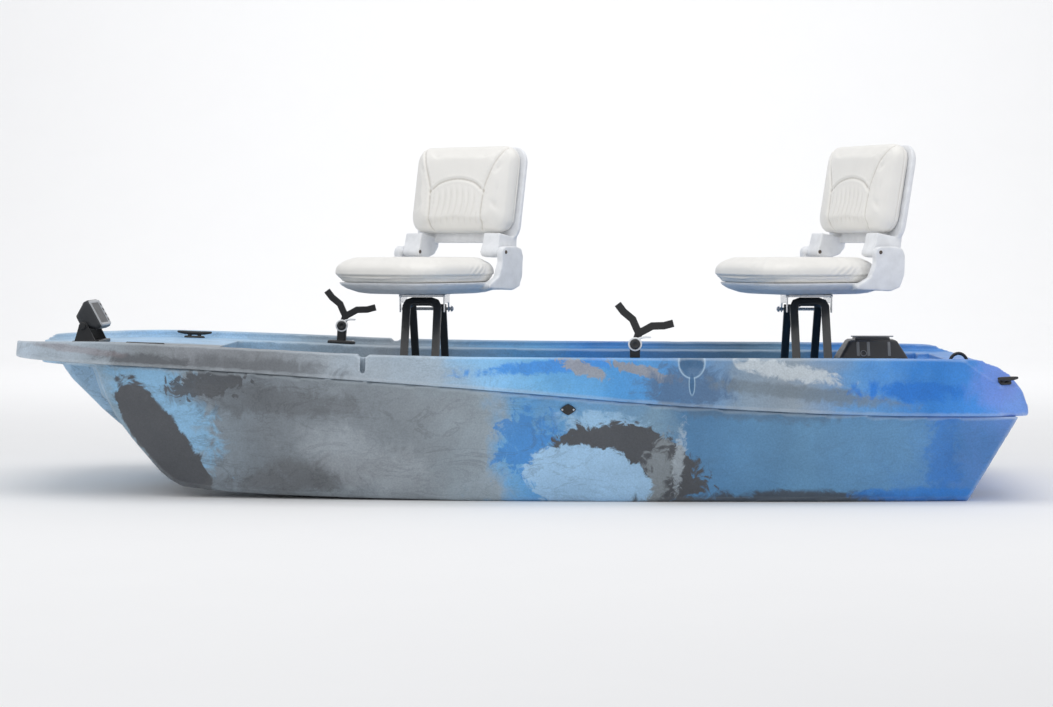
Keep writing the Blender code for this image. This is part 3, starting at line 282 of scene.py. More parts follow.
@dataclass(frozen=True)
class MarbledPolyethylene(Finish):
    """Polyethylene, rotomoulded from mixed colour powders.

    The powders melt where they fall, so the colour runs in clouds, veins and drips with a
    salt-and-pepper grain, and the mould leaves a low orange-peel sheen.

    Attributes:
        near: places and colours along the boat on the port side.
        far: the same on the starboard side.
        clouds: patches on the port side.
        sway: how far the colours along the boat are pushed about, metres.
        veins: strength of the dark wisps forward.
    """

    near: tuple[tuple[float, str], ...] = ()
    far: tuple[tuple[float, str], ...] = ()
    clouds: tuple[Cloud, ...] = ()
    sway: float = 0.16
    veins: float = 0.5
    roughness: float = 0.46
    powder_mm: float = 5.0      # powder grains are 0.5 mm; drawn coarse enough to show

    def paint(self, tree: bpy.types.NodeTree, shader: bpy.types.Node) -> None:
        """Lay the colours, grain and sheen of the moulded skin.

        Args:
            tree: the material's node tree.
            shader: the Principled shader.
        """
        place = self.place(tree)
        split = add_node(tree, "ShaderNodeSeparateXYZ", {"Vector": place})
        # molten powder drags the borders about: one slow and one fast field
        slow = add_node(tree, "ShaderNodeTexNoise",
                        {"Vector": place, "Scale": scale_of(330), "Detail": 5.0,
                         "Roughness": 0.6, "Distortion": 0.8})
        pushed = add_node(tree, "ShaderNodeMath",
                          {0: self.vary(tree, slow.outputs["Fac"], -self.sway, self.sway),
                           1: split.outputs["X"]}, operation="ADD")
        along = add_node(tree, "ShaderNodeMapRange",
                         {"Value": pushed.outputs[0], 1: -1.525, 2: 1.525})
        near = add_node(tree, "ShaderNodeValToRGB", {0: along.outputs[0]}, self.stops(self.near))
        far = add_node(tree, "ShaderNodeValToRGB", {0: along.outputs[0]}, self.stops(self.far))
        colour = near.outputs[0]
        for cloud in self.clouds:
            colour = self.lay(tree, place, slow.outputs["Fac"], colour, cloud)
        side = add_node(tree, "ShaderNodeMapRange",
                        {"Value": split.outputs["Y"], 1: -0.04, 2: 0.06})
        colour = add_node(tree, "ShaderNodeMix",
                          {0: side.outputs[0], 6: colour, 7: far.outputs[0]},
                          data_type="RGBA").outputs[2]
        colour = self.wisps(tree, place, split.outputs["X"], colour)
        cloudy = self.vary(tree, self.grain(tree, 150, 4.0), 0.86, 1.14)
        powder = self.vary(tree, self.grain(tree, self.powder_mm, 1.0), 0.90, 1.10)
        colour = self.tone(tree, self.tone(tree, colour, cloudy), powder)
        # painted highlight along the sharp edges of the skin
        colour = self.edge_highlight(tree, colour, "#dbe6ee", 0.45)
        tree.links.new(colour, shader.inputs["Base Color"])
        shader.inputs["IOR"].default_value = 1.51        # polyethylene
        rough = self.vary(tree, self.grain(tree, 40), self.roughness - 0.06,
                          self.roughness + 0.06)
        tree.links.new(rough, shader.inputs["Roughness"])
        # orange peel left by the mould, 3 mm across; its 0.05 mm depth shows only in the sheen
        self.relief(tree, shader, self.grain(tree, 3.0), 0.35, 0.5)

    def stops(self, line: Sequence[tuple[float, str]]) -> list[tuple[float, str]]:
        """Ramp stops from 0 to 1 of places in metres along the boat."""
        return [((x + 1.525) / 3.05, hexa) for x, hexa in line]

    def lay(self, tree: bpy.types.NodeTree, place: bpy.types.NodeSocket,
            slow: bpy.types.NodeSocket, under: bpy.types.NodeSocket, cloud: Cloud
            ) -> bpy.types.NodeSocket:
        """Lay one patch over the colour so far.

        Args:
            tree: the material's node tree.
            place: position socket.
            slow: the slow field that drags all borders.
            under: the colour so far.
            cloud: the patch.

        Returns:
            The colour with the patch.
        """
        moved = add_node(tree, "ShaderNodeVectorMath",
                         {0: place, 1: (cloud.at[0], 0.0, cloud.at[1])}, operation="SUBTRACT")
        turned = add_node(tree, "ShaderNodeMapping",
                          {"Vector": moved.outputs[0],
                           "Rotation": (0.0, math.radians(cloud.lean), 0.0)}, vector_type="POINT")
        sized = add_node(tree, "ShaderNodeVectorMath",
                         {0: turned.outputs[0],
                          1: (1 / cloud.reach[0], 0.0, 1 / cloud.reach[1])},
                         operation="MULTIPLY")
        distance = add_node(tree, "ShaderNodeVectorMath", {0: sized.outputs[0]},
                            operation="LENGTH")
        edge = add_node(tree, "ShaderNodeTexNoise",
                        {"Vector": place, "Scale": scale_of(cloud.lobe_mm), "Detail": 5.0,
                         "Roughness": 0.62, "Distortion": 1.2})
        push = self.vary(tree, edge.outputs["Fac"], -cloud.ragged / 2, cloud.ragged / 2)
        ragged = add_node(tree, "ShaderNodeMath", {0: distance.outputs["Value"], 1: push},
                          operation="ADD")
        mask = add_node(tree, "ShaderNodeMapRange",
                        {"Value": ragged.outputs[0], 1: 1.0 + cloud.soft / 2,
                         2: 1.0 - cloud.soft / 2, 3: 0.0, 4: cloud.strength},
                        interpolation_type="SMOOTHSTEP")
        if cloud.skin_only:
            depth = add_node(tree, "ShaderNodeSeparateXYZ", {"Vector": place}).outputs["Y"]
            outer = add_node(tree, "ShaderNodeMapRange",
                             {"Value": depth, 1: -0.545, 2: -0.555, 3: 0.0, 4: 1.0})
            mask = add_node(tree, "ShaderNodeMath", {0: mask.outputs[0], 1: outer.outputs[0]},
                            operation="MULTIPLY")
        return add_node(tree, "ShaderNodeMix",
                        {0: mask.outputs[0], 6: under, 7: linear(cloud.colour)},
                        data_type="RGBA").outputs[2]

    def wisps(self, tree: bpy.types.NodeTree, place: bpy.types.NodeSocket,
              along: bpy.types.NodeSocket, under: bpy.types.NodeSocket
              ) -> bpy.types.NodeSocket:
        """Draw dark veins where charcoal powder ran thin.

        Args:
            tree: the material's node tree.
            place: position socket.
            along: position along the boat.
            under: the colour so far.

        Returns:
            The colour with its veins.
        """
        stretched = add_node(tree, "ShaderNodeMapping",
                             {"Vector": place, "Scale": (0.55, 0.55, 1.25),
                              "Rotation": (0.0, math.radians(12), 0.0)})
        field_ = add_node(tree, "ShaderNodeTexNoise",
                          {"Vector": stretched.outputs[0], "Scale": scale_of(150),
                           "Detail": 7.0, "Roughness": 0.66, "Distortion": 1.6})
        thin = add_node(tree, "ShaderNodeMath", {0: field_.outputs["Fac"], 1: 0.5},
                        operation="SUBTRACT")
        line = add_node(tree, "ShaderNodeMath", {0: thin.outputs[0]}, operation="ABSOLUTE")
        vein = add_node(tree, "ShaderNodeMapRange",
                        {"Value": line.outputs[0], 1: 0.030, 2: 0.0, 3: 0.0, 4: self.veins})
        patchy = self.vary(tree, self.grain(tree, 210, 2.0), 0.0, 1.0)
        forward = add_node(tree, "ShaderNodeMapRange",
                           {"Value": along, 1: 0.35, 2: -0.1, 3: 0.25, 4: 1.0})
        mask = add_node(tree, "ShaderNodeMath", {0: vein.outputs[0], 1: patchy},
                        operation="MULTIPLY", use_clamp=True)
        mask = add_node(tree, "ShaderNodeMath", {0: mask.outputs[0], 1: forward.outputs[0]},
                        operation="MULTIPLY", use_clamp=True)
        return add_node(tree, "ShaderNodeMix",
                        {0: mask.outputs[0], 6: under, 7: linear("#45484d")},
                        data_type="RGBA").outputs[2]


@dataclass(frozen=True)
class EmbossedVinyl(Finish):
    """Marine vinyl, calendered on cloth and embossed with a leather grain.

    The grain breaks the highlights into a soft satin, and the foam side keeps it warm white.
    """

    colour: str = "#efede8"
    grain_mm: float = 2.6       # real grain is 1 mm; drawn coarser so that it shows
    roughness: float = 0.42

    def paint(self, tree: bpy.types.NodeTree, shader: bpy.types.Node) -> None:
        """Set the warm white, the embossed cells and the satin.

        Args:
            tree: the material's node tree.
            shader: the Principled shader.
        """
        place = self.place(tree)
        cells = add_node(tree, "ShaderNodeTexVoronoi",
                         {"Vector": place, "Scale": scale_of(self.grain_mm)},
                         feature="SMOOTH_F1")
        mottled = self.vary(tree, self.grain(tree, 90, 3.0), 0.965, 1.02)
        colour = self.tone(tree, linear(self.colour), mottled)
        # painted shade: the creases are darkened towards a warm grey
        crease_shade = add_node(tree, "ShaderNodeMapRange",
                          {"Value": add_node(tree, "ShaderNodeNewGeometry"
                                             ).outputs["Pointiness"],
                           1: 0.495, 2: 0.44, 3: 0.0, 4: 0.55})
        colour = add_node(tree, "ShaderNodeMix",
                          {0: crease_shade.outputs[0], 6: colour, 7: linear("#a59c8e")},
                          data_type="RGBA").outputs[2]
        tree.links.new(colour, shader.inputs["Base Color"])
        rough = self.vary(tree, cells.outputs["Distance"], self.roughness,
                          self.roughness + 0.10)
        tree.links.new(rough, shader.inputs["Roughness"])
        shader.inputs["IOR"].default_value = 1.53        # plasticised PVC
        shader.inputs["Sheen Weight"].default_value = 0.08
        self.relief(tree, shader, cells.outputs["Distance"], 0.25, 0.35)


@dataclass(frozen=True)
class MouldedPlastic(Finish):
    """Injection-moulded plastic with the texture of its tool.

    Attributes:
        colour: hex colour.
        pale: hex colour of its painted edge highlights.
        texture_mm: size of the tool's texture.
        depth_mm: its depth.
        roughness: average roughness.
        ior: index of refraction.
        edge: strength of the painted highlight on its edges.
    """

    colour: str = "#1b1c1e"
    pale: str = "#5b5e62"
    texture_mm: float = 1.6
    depth_mm: float = 0.12
    roughness: float = 0.42
    ior: float = 1.53
    edge: float = 0.35

    def paint(self, tree: bpy.types.NodeTree, shader: bpy.types.Node) -> None:
        """Set the colour, its slight unevenness, the painted edge highlights and the tool
        texture.

        Args:
            tree: the material's node tree.
            shader: the Principled shader.
        """
        uneven = self.vary(tree, self.grain(tree, 35, 3.0), 0.92, 1.08)
        # painted highlight along the sharp edges
        colour = self.edge_highlight(tree, self.tone(tree, linear(self.colour), uneven), self.pale,
                           self.edge)
        tree.links.new(colour, shader.inputs["Base Color"])
        rough = self.vary(tree, self.grain(tree, 12, 3.0), self.roughness - 0.05,
                          self.roughness + 0.07)
        tree.links.new(rough, shader.inputs["Roughness"])
        shader.inputs["IOR"].default_value = self.ior
        self.relief(tree, shader, self.grain(tree, self.texture_mm, 1.0), self.depth_mm, 0.6)


@dataclass(frozen=True)
class PowderCoat(Finish):
    """Steel under baked polyester powder: a fine pebble with soft, broad highlights."""

    colour: str = "#17181a"
    pebble_mm: float = 1.4      # real pebble is 0.6 mm; drawn coarser so that it shows

    def paint(self, tree: bpy.types.NodeTree, shader: bpy.types.Node) -> None:
        """Set the coat's colour, painted edge highlights and pebble.

        Args:
            tree: the material's node tree.
            shader: the Principled shader.
        """
        uneven = self.vary(tree, self.grain(tree, 25, 3.0), 0.9, 1.1)
        # painted highlight along the sharp edges
        colour = self.edge_highlight(tree, self.tone(tree, linear(self.colour), uneven), "#6a6c6e", 0.4)
        tree.links.new(colour, shader.inputs["Base Color"])
        tree.links.new(self.vary(tree, self.grain(tree, 8), 0.34, 0.48),
                       shader.inputs["Roughness"])
        shader.inputs["IOR"].default_value = 1.5
        shader.inputs["Coat Weight"].default_value = 0.15
        self.relief(tree, shader, self.grain(tree, self.pebble_mm, 1.0), 0.10, 0.6)


@dataclass(frozen=True)
class PlatedSteel(Finish):
    """Steel, zinc plated and passivated: bright, with cloudy grey patches and drawing lines."""

    colour: str = "#c9cbce"
    roughness: float = 0.24

    def paint(self, tree: bpy.types.NodeTree, shader: bpy.types.Node) -> None:
        """Set the plating's colour, its clouded gloss and its fine lines.

        Args:
            tree: the material's node tree.
            shader: the Principled shader.
        """
        clouds = self.grain(tree, 14, 4.0)
        colour = self.tone(tree, linear(self.colour), self.vary(tree, clouds, 0.86, 1.06))
        tree.links.new(colour, shader.inputs["Base Color"])
        shader.inputs["Metallic"].default_value = 1.0
        tree.links.new(self.vary(tree, clouds, self.roughness - 0.06, self.roughness + 0.12),
                       shader.inputs["Roughness"])
        lines = add_node(tree, "ShaderNodeMapping",
                         {"Vector": self.place(tree), "Scale": (0.1, 1.0, 1.0)})
        self.relief(tree, shader, self.grain(tree, 0.9, 1.0, lines.outputs[0]), 0.03, 0.4)


@dataclass(frozen=True)
class RubberTread(Finish):
    """Natural rubber, compression moulded: matt, near black and slightly dusty."""

    def paint(self, tree: bpy.types.NodeTree, shader: bpy.types.Node) -> None:
        """Set the matt black and its dust.

        Args:
            tree: the material's node tree.
            shader: the Principled shader.
        """
        dust = self.vary(tree, self.grain(tree, 20, 4.0), 0.8, 1.35)
        tree.links.new(self.tone(tree, linear("#202122"), dust), shader.inputs["Base Color"])
        tree.links.new(self.vary(tree, self.grain(tree, 6), 0.72, 0.86),
                       shader.inputs["Roughness"])
        shader.inputs["IOR"].default_value = 1.52
        self.relief(tree, shader, self.grain(tree, 1.2, 1.0), 0.10, 0.7)


@dataclass(frozen=True)
class DarkScreen(Finish):
    """Bonded display glass over a dark panel: near black with a clean, cool reflection."""

    def paint(self, tree: bpy.types.NodeTree, shader: bpy.types.Node) -> None:
        """Set the dark panel under smooth glass with faint wiping marks.

        Args:
            tree: the material's node tree.
            shader: the Principled shader.
        """
        panel = self.vary(tree, self.grain(tree, 30, 2.0), 0.85, 1.15)
        tree.links.new(self.tone(tree, linear("#11161c"), panel), shader.inputs["Base Color"])
        tree.links.new(self.vary(tree, self.grain(tree, 10, 3.0), 0.06, 0.14),
                       shader.inputs["Roughness"])
        shader.inputs["IOR"].default_value = 1.52
        shader.inputs["Coat Weight"].default_value = 0.6


@dataclass(frozen=True)
class StudioPaper(Finish):
    """Seamless paper sweep, matt and pale, with the faintest fibre."""

    def paint(self, tree: bpy.types.NodeTree, shader: bpy.types.Node) -> None:
        """Set the pale matt paper.

        Args:
            tree: the material's node tree.
            shader: the Principled shader.
        """
        fibre = self.vary(tree, self.grain(tree, 300, 2.0), 0.992, 1.0)
        tree.links.new(self.tone(tree, linear("#f7f7f7"), fibre), shader.inputs["Base Color"])
        shader.inputs["Roughness"].default_value = 0.9
        shader.inputs["Specular IOR Level"].default_value = 0.1


CHARCOAL = "#4b4e53"
HULL_SKIN = MarbledPolyethylene(
    "rotomoulded_marbled_polyethylene_hull",
    near=((-1.45, "#9fc4e2"), (-1.20, "#7f99ab"), (-1.02, "#8795a0"), (-0.70, "#757d84"),
          (-0.30, "#8b949b"), (-0.12, "#98a5ae"), (0.0, "#6fa9d6"), (0.12, "#5b9dd3"),
          (0.40, "#7a9cb4"), (0.52, "#4f82ad"), (0.90, "#5f8fb4"), (1.15, "#5f93bf"),
          (1.30, "#4580bf"), (1.46, "#5b86c8")),
    far=((-1.45, "#9fc4e2"), (-1.05, "#86a3ba"), (-0.70, "#767e86"), (-0.15, "#8d98a1"),
         (0.05, "#6fa9d6"), (0.50, "#4d8ec6"), (0.90, "#5f93bf"), (1.30, "#3d86cf"),
         (1.46, "#7f97de")),
    clouds=(
        Cloud("#86b9de", (-1.02, 0.27), (0.20, 0.11), -52, 0.9, 60, 0.5, 0.85),
        Cloud(CHARCOAL, (-1.035, 0.175), (0.225, 0.070), -55, 0.40, 80, 0.12),
        Cloud(CHARCOAL, (-0.89, 0.345), (0.11, 0.040), 8, 1.5, 38, 0.25, 0.9),
        Cloud("#5a5d61", (-0.72, 0.30), (0.30, 0.045), -4, 1.2, 60, 0.6, 0.5),
        Cloud("#5b5d60", (-0.60, 0.07), (0.26, 0.05), 10, 1.3, 80, 0.8, 0.6),
        Cloud("#a3abb2", (-0.42, 0.12), (0.20, 0.07), -20, 1.1, 90, 0.9, 0.55),
        Cloud("#3f87cc", (0.06, 0.17), (0.085, 0.10), 10, 1.9, 40, 0.5, 0.85),
        Cloud("#9dc3e0", (0.28, 0.235), (0.11, 0.035), -5, 1.4, 40, 0.6, 0.8),
        Cloud(CHARCOAL, (0.345, 0.105), (0.225, 0.128), -14, 0.50, 50, 0.12),
        Cloud("#8d969b", (0.435, 0.07), (0.035, 0.11), -12, 1.7, 40, 0.7, 0.8),
        Cloud("#c6d3dc", (0.500, 0.13), (0.014, 0.09), -6, 1.6, 20, 0.9, 0.5),
        Cloud("#9fc4e2", (0.235, 0.062), (0.185, 0.108), -10, 0.30, 60, 0.07),
        Cloud("#44474c", (0.85, -0.004), (0.42, 0.036), 0, 1.1, 80, 0.5, 0.9),
        Cloud("#55748f", (0.70, 0.27), (0.26, 0.025), -4, 1.4, 60, 0.7, 0.7),
        Cloud("#2f78c6", (1.27, 0.14), (0.045, 0.13), 0, 1.6, 50, 0.7, 0.7),
        Cloud("#2c7fd0", (1.24, 0.02), (0.20, 0.022), 0, 1.0, 60, 0.6, 0.8),
    ))
RIM_SKIN = MarbledPolyethylene(
    "rotomoulded_marbled_polyethylene_deck",
    near=((-1.50, "#aebcc9"), (-1.28, "#97a3ad"), (-1.10, "#7d8388"), (-0.93, "#8a8f95"),
          (-0.70, "#7d8287"), (-0.45, "#9ba5ae"), (-0.22, "#9db0c0"), (-0.08, "#8cc2ec"),
          (0.12, "#6fb4e6"), (0.30, "#4b98d8"), (0.50, "#4f8dc6"), (0.70, "#8196aa"),
          (0.86, "#8d9ba8"), (1.05, "#5e97cf"), (1.22, "#2c80d2"), (1.38, "#3f8bdc"),
          (1.48, "#6a95e0")),
    far=((-1.50, "#a9c4da"), (-1.20, "#9cc4e6"), (-0.95, "#9cc0de"), (-0.70, "#8fa6b8"),
         (-0.45, "#8d98a2"), (-0.20, "#7fa0bc"), (0.05, "#5f9fd0"), (0.25, "#2f83cd"),
         (0.45, "#3a6f9f"), (0.70, "#3d637f"), (0.90, "#5f88a6"), (1.10, "#3b86cf"),
         (1.40, "#5c9ae2")),
    clouds=(
        Cloud("#585c61", (-1.05, 0.40), (0.16, 0.030), -6, 1.0, 70, 0.6, 0.95),
        Cloud("#8a7f82", (-1.30, 0.445), (0.16, 0.010), -6, 0.8, 60, 0.8, 0.45),
        Cloud("#55595e", (-0.72, 0.395), (0.22, 0.032), -4, 1.0, 80, 0.9, 0.7),
        Cloud("#3d8fe0", (0.12, 0.40), (0.22, 0.018), 4, 1.2, 50, 0.6, 0.9),
        Cloud("#9b9da3", (0.22, 0.395), (0.07, 0.018), -20, 1.6, 35, 0.4, 0.9),
        Cloud("#8f9095", (0.40, 0.385), (0.10, 0.016), -15, 1.6, 35, 0.4, 0.9),
        Cloud("#4c6a8c", (0.52, 0.34), (0.12, 0.06), 0, 1.2, 50, 0.7, 0.85),
        Cloud("#c3ccd2", (0.82, 0.385), (0.15, 0.026), -10, 1.3, 55, 0.5, 0.85),
        Cloud("#6f7d88", (0.86, 0.325), (0.26, 0.022), -6, 1.1, 55, 0.7, 0.75),
        Cloud("#1b74cf", (1.18, 0.33), (0.15, 0.028), 0, 1.4, 60, 0.7, 0.9),
        Cloud("#6f8fe0", (1.43, 0.36), (0.08, 0.06), 20, 1.0, 70, 1.0, 0.75),
        # funnel recess: a pale ring round the lip, then painted shade in the hollow and its neck
        Cloud("#a9c6dc", (0.535, 0.412), (0.040, 0.046), 0, 0.0, 40, 0.10, 0.7, True),
        Cloud("#a9c6dc", (0.535, 0.352), (0.0095, 0.034), 0, 0.0, 40, 0.25, 0.6, True),
        # painted shade of the recess and its neck
        Cloud("#265a85", (0.535, 0.412), (0.036, 0.042), 0, 0.0, 40, 0.12, 0.9, True),
        Cloud("#265a85", (0.535, 0.352), (0.0065, 0.031), 0, 0.0, 40, 0.25, 0.9, True),
    ),
    sway=0.10, veins=0.30)
VINYL = EmbossedVinyl("embossed_marine_vinyl")
SHELL = MouldedPlastic("injection_moulded_polypropylene_white", "#e9ebee", "#f7f8fa", 1.8, 0.08,
                       0.38, 1.49, 0.2)
COAT = PowderCoat("black_polyester_powder_coat")
ZINC = PlatedSteel("zinc_plated_steel")
NYLON = MouldedPlastic("glass_filled_nylon_black", "#151618", "#4b4e51", 1.4, 0.12, 0.40, 1.53,
                       0.2)
BATTERY = MouldedPlastic("pebbled_polypropylene_charcoal", "#2b2c2f", "#8d9093", 2.2, 0.22, 0.40,
                         1.49, 0.55)
BEZEL = MouldedPlastic("moulded_abs_silver_grey", "#9b9ea2", "#c8cacd", 1.5, 0.06, 0.34, 1.53,
                       0.4)
BODY = MouldedPlastic("moulded_abs_dark_grey", "#2a2d31", "#6c7075", 1.5, 0.12, 0.42, 1.53, 0.4)
ACETAL = MouldedPlastic("moulded_acetal_white", "#e6e7e8", "#ffffff", 1.2, 0.04, 0.30, 1.48, 0.2)
BOLT = PlatedSteel("passivated_steel_bolt", "#6b625b", 0.34)
TREAD = RubberTread("moulded_rubber_tread")
GLASS = DarkScreen("bonded_display_glass")
PAPER = StudioPaper("seamless_paper_sweep")


# ---------------------------------------------------------------- mesh tools
def as_object(name: str, mesh: bpy.types.Mesh) -> bpy.types.Object:
    """Link a mesh to the scene as an object at the origin."""
    made = bpy.data.objects.new(name, mesh)
    bpy.context.scene.collection.objects.link(made)
    return made


def from_bmesh(name: str, shape: bmesh.types.BMesh, place: Optional[Matrix] = None,
               smooth: bool = True) -> bpy.types.Object:
    """Turn a bmesh into an object whose vertices are in the row frame.

    Args:
        name: the object's name.
        shape: the bmesh, which is freed.
        place: matrix that carries it into the row frame.
        smooth: whether its faces are shaded smooth.

    Returns:
        The new object.
    """
    if place is not None:
        shape.transform(place)
    bmesh.ops.recalc_face_normals(shape, faces=shape.faces)
    for face in shape.faces:
        face.smooth = smooth
    mesh = bpy.data.meshes.new(name)
    shape.to_mesh(mesh)
    shape.free()
    return as_object(name, mesh)


def settle(made: bpy.types.Object) -> None:
    """Apply an object's modifiers to its mesh.

    Args:
        made: the object.
    """
    graph = bpy.context.evaluated_depsgraph_get()
    mesh = bpy.data.meshes.new_from_object(made.evaluated_get(graph), depsgraph=graph)
    old = made.data
    made.modifiers.clear()
    made.data = mesh
    mesh.name = made.name
    bpy.data.meshes.remove(old)


def with_modifier(made: bpy.types.Object, kind: str, **settings) -> bpy.types.Object:
    """Add one modifier, apply it, and return the object.

    Args:
        made: the object.
        kind: the modifier's type.
        settings: its properties.

    Returns:
        The same object with the result in its mesh.
    """
    modifier = made.modifiers.new(kind.title(), kind)
    for name, value in settings.items():
        setattr(modifier, name, value)
    bpy.context.view_layer.update()
    settle(made)
    return made


def triangles(made: bpy.types.Object) -> int:
    """Number of triangles in an object's mesh."""
    return sum(len(face.vertices) - 2 for face in made.data.polygons)


def welded_copy(name: str, node: str) -> bpy.types.Object:
    """Copy a CAD node's mesh into a new object with its seams closed.

    Args:
        name: the new object's name.
        node: the CAD node.

    Returns:
        The new object.
    """
    shape = bmesh.new()
    shape.from_mesh(NODES[node].data)
    bmesh.ops.remove_doubles(shape, verts=shape.verts, dist=0.00002)
    return from_bmesh(name, shape)


def softened(name: str, node: str, cell_mm: float, rounds: int = 3, most: int = 20000,
             strength: float = 0.5) -> bpy.types.Object:
    """Round a CAD node's edges as its mould does: remesh, relax, then thin out.

    Args:
        name: the new object's name.
        node: the CAD node.
        cell_mm: size of the remeshing cells.
        rounds: relaxing rounds.
        most: most triangles that are kept.
        strength: how far each round relaxes.

    Returns:
        The new object.
    """
    made = welded_copy(name, node)
    with_modifier(made, "REMESH", mode="VOXEL", voxel_size=cell_mm * MM,
                  use_smooth_shade=True)
    with_modifier(made, "SMOOTH", factor=strength, iterations=rounds)
    count = triangles(made)
    if count > most:
        with_modifier(made, "DECIMATE", ratio=most / count)
    for face in made.data.polygons:
        face.use_smooth = True
    return made


def turned(profile: Iterable[tuple[float, float]], steps: int = 24) -> bmesh.types.BMesh:
    """Turn a profile of (radius, height) pairs about Z and close its ends.

    Args:
        profile: the pairs, from bottom to top.
        steps: number of sides.

    Returns:
        The closed shape.
    """
    shape = bmesh.new()
    rings = []
    for radius, height in profile:
        rings.append([shape.verts.new((radius * math.cos(2 * math.pi * k / steps),
                                       radius * math.sin(2 * math.pi * k / steps), height))
                      for k in range(steps)])
    for low, high in zip(rings, rings[1:]):
        for k in range(steps):
            j = (k + 1) % steps
            shape.faces.new((low[k], low[j], high[j], high[k]))
    shape.faces.new(list(reversed(rings[0])))
    shape.faces.new(rings[-1])
    return shape


def plate(outline: Sequence[tuple[float, float]], low: float, high: float, soft: float = 0.0,
          segments: int = 2) -> bmesh.types.BMesh:
    """Raise an outline into a plate with rounded edges.

    Args:
        outline: points in X and Y, in order.
        low: height of its underside.
        high: height of its top.
        soft: radius of the edges.
        segments: steps of the rounding.

    Returns:
        The closed shape.
    """
    shape = bmesh.new()
    bottom = [shape.verts.new((x, y, low)) for x, y in outline]
    top = [shape.verts.new((x, y, high)) for x, y in outline]
    count = len(outline)
    shape.faces.new(list(reversed(bottom)))
    shape.faces.new(top)
    for k in range(count):
        j = (k + 1) % count
        shape.faces.new((bottom[k], bottom[j], top[j], top[k]))
    if soft > 0:
        level = [e for e in shape.edges if abs(e.verts[0].co.z - e.verts[1].co.z) < 1e-9]
        bmesh.ops.bevel(shape, geom=level, offset=soft, segments=segments, profile=0.6,
                        affect="EDGES")
    return shape


def rounded(half_x: float, half_y: float, corner: float, steps: int = 5
            ) -> list[tuple[float, float]]:
    """Outline of a rectangle with round corners, centred on the origin."""
    points = []
    for quarter in range(4):
        cx = (half_x - corner) * (1 if quarter in (0, 3) else -1)
        cy = (half_y - corner) * (1 if quarter in (0, 1) else -1)
        for k in range(steps + 1):
            a = math.pi / 2 * (quarter + k / steps)
            points.append((cx + corner * math.cos(a), cy + corner * math.sin(a)))
    return points


def facing(at: Sequence[float], axis: Sequence[float], along: Sequence[float] = (0, 0, 1)
           ) -> Matrix:
    """Matrix that puts local Z on an axis at a point, and local X as near `along` as it can."""
    up = Vector(axis).normalized()
    side = Vector(along) - up * Vector(along).dot(up)
    if side.length < 1e-6:
        side = up.orthogonal()
    side.normalize()
    turn = Matrix((side, up.cross(side), up)).transposed().to_4x4()
    return Matrix.Translation(Vector(at)) @ turn


def screw_head(radius: float, height: float) -> bmesh.types.BMesh:
    """Domed screw head with a recess, standing on Z = 0.

    Args:
        radius: radius of the head.
        height: its height.

    Returns:
        The closed shape.
    """
    return turned([(radius, -height * 0.3), (radius, height * 0.25),
                   (radius * 0.92, height * 0.62), (radius * 0.70, height * 0.90),
                   (radius * 0.46, height), (radius * 0.42, height * 0.96),
                   (radius * 0.38, height * 0.45), (radius * 0.10, height * 0.40)], 20)


def hexagon_nut(radius: float, height: float, bore: float) -> bmesh.types.BMesh:
    """Hexagon nut on a washer with the bolt's end standing out of it, on Z = 0.

    Args:
        radius: across its corners, halved.
        height: its height.
        bore: radius of the bolt.

    Returns:
        The closed shape.
    """
    shape = turned([(radius * 1.25, 0.0), (radius * 1.25, height * 0.18),
                    (radius * 1.02, height * 0.22)], 24)
    corner = [(radius * math.cos(math.pi * k / 3), radius * math.sin(math.pi * k / 3))
              for k in range(6)]
    nut = plate(corner, height * 0.1, height, height * 0.12, 2)
    stud = turned([(bore, height * 0.5), (bore, height * 1.25), (bore * 0.75, height * 1.4)], 16)
    for extra in (nut, stud):
        mesh = bpy.data.meshes.new("extra")
        extra.to_mesh(mesh)
        extra.free()
        shape.from_mesh(mesh)
        bpy.data.meshes.remove(mesh)
    return shape


# ---------------------------------------------------------------- sub-assemblies
@dataclass
class Piece:
    """A visible piece and what is said of it.

    Attributes:
        shape: the object.
        finish: its finish.
        slot: the record's material slot.
        body: the CAD body it rides on.
        replaces: CAD nodes that it stands for.
    """

    shape: bpy.types.Object
    finish: Finish
    slot: Slot
    body: str
    replaces: tuple[str, ...] = ()


@dataclass
class SubAssembly:
    """Part of the boat that builds its pieces, then dresses them."""

    title: str
    pieces: list[Piece] = field(default_factory=list, init=False)

    def build(self) -> None:
        """Make the meshes; each sub-assembly has its own."""
        raise NotImplementedError

    def keep(self, shape: bpy.types.Object, finish: Finish, slot: Slot, body: str,
             *replaces: str) -> bpy.types.Object:
        """Remember a piece for dressing.

        Args:
            shape: the object.
            finish: its finish.
            slot: the record's material slot.
            body: the CAD body it rides on.
            replaces: CAD nodes that it stands for.

        Returns:
            The object.
        """
        self.pieces.append(Piece(shape, finish, slot, body, replaces))
        return shape

    def soften(self, node: str, cell_mm: float, finish: Finish, slot: Slot, body: str,
               rounds: int = 3, most: int = 16000) -> bpy.types.Object:
        """Soften a CAD node and keep the result in its place.

        Args:
            node: the CAD node.
            cell_mm: size of the remeshing cells.
            finish: its finish.
            slot: the record's material slot.
            body: the CAD body it rides on.
            rounds: relaxing rounds.
            most: most triangles that are kept.

        Returns:
            The new object.
        """
        made = softened(node + "_moulded", node, cell_mm, rounds, most)
        return self.keep(made, finish, slot, body, node)

    def dress(self) -> None:
        """Give every piece its material and body, and hide the CAD nodes that it replaces."""
        for piece in self.pieces:
            shape = piece.shape
            shape.data.materials.clear()
            shape.data.materials.append(piece.finish.material())
            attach(shape, piece.body)
            if piece.replaces:
                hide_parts(*piece.replaces)
            log.info("%s: %s, %d triangles, %s", self.title, shape.name, triangles(shape),
                     piece.finish.name)


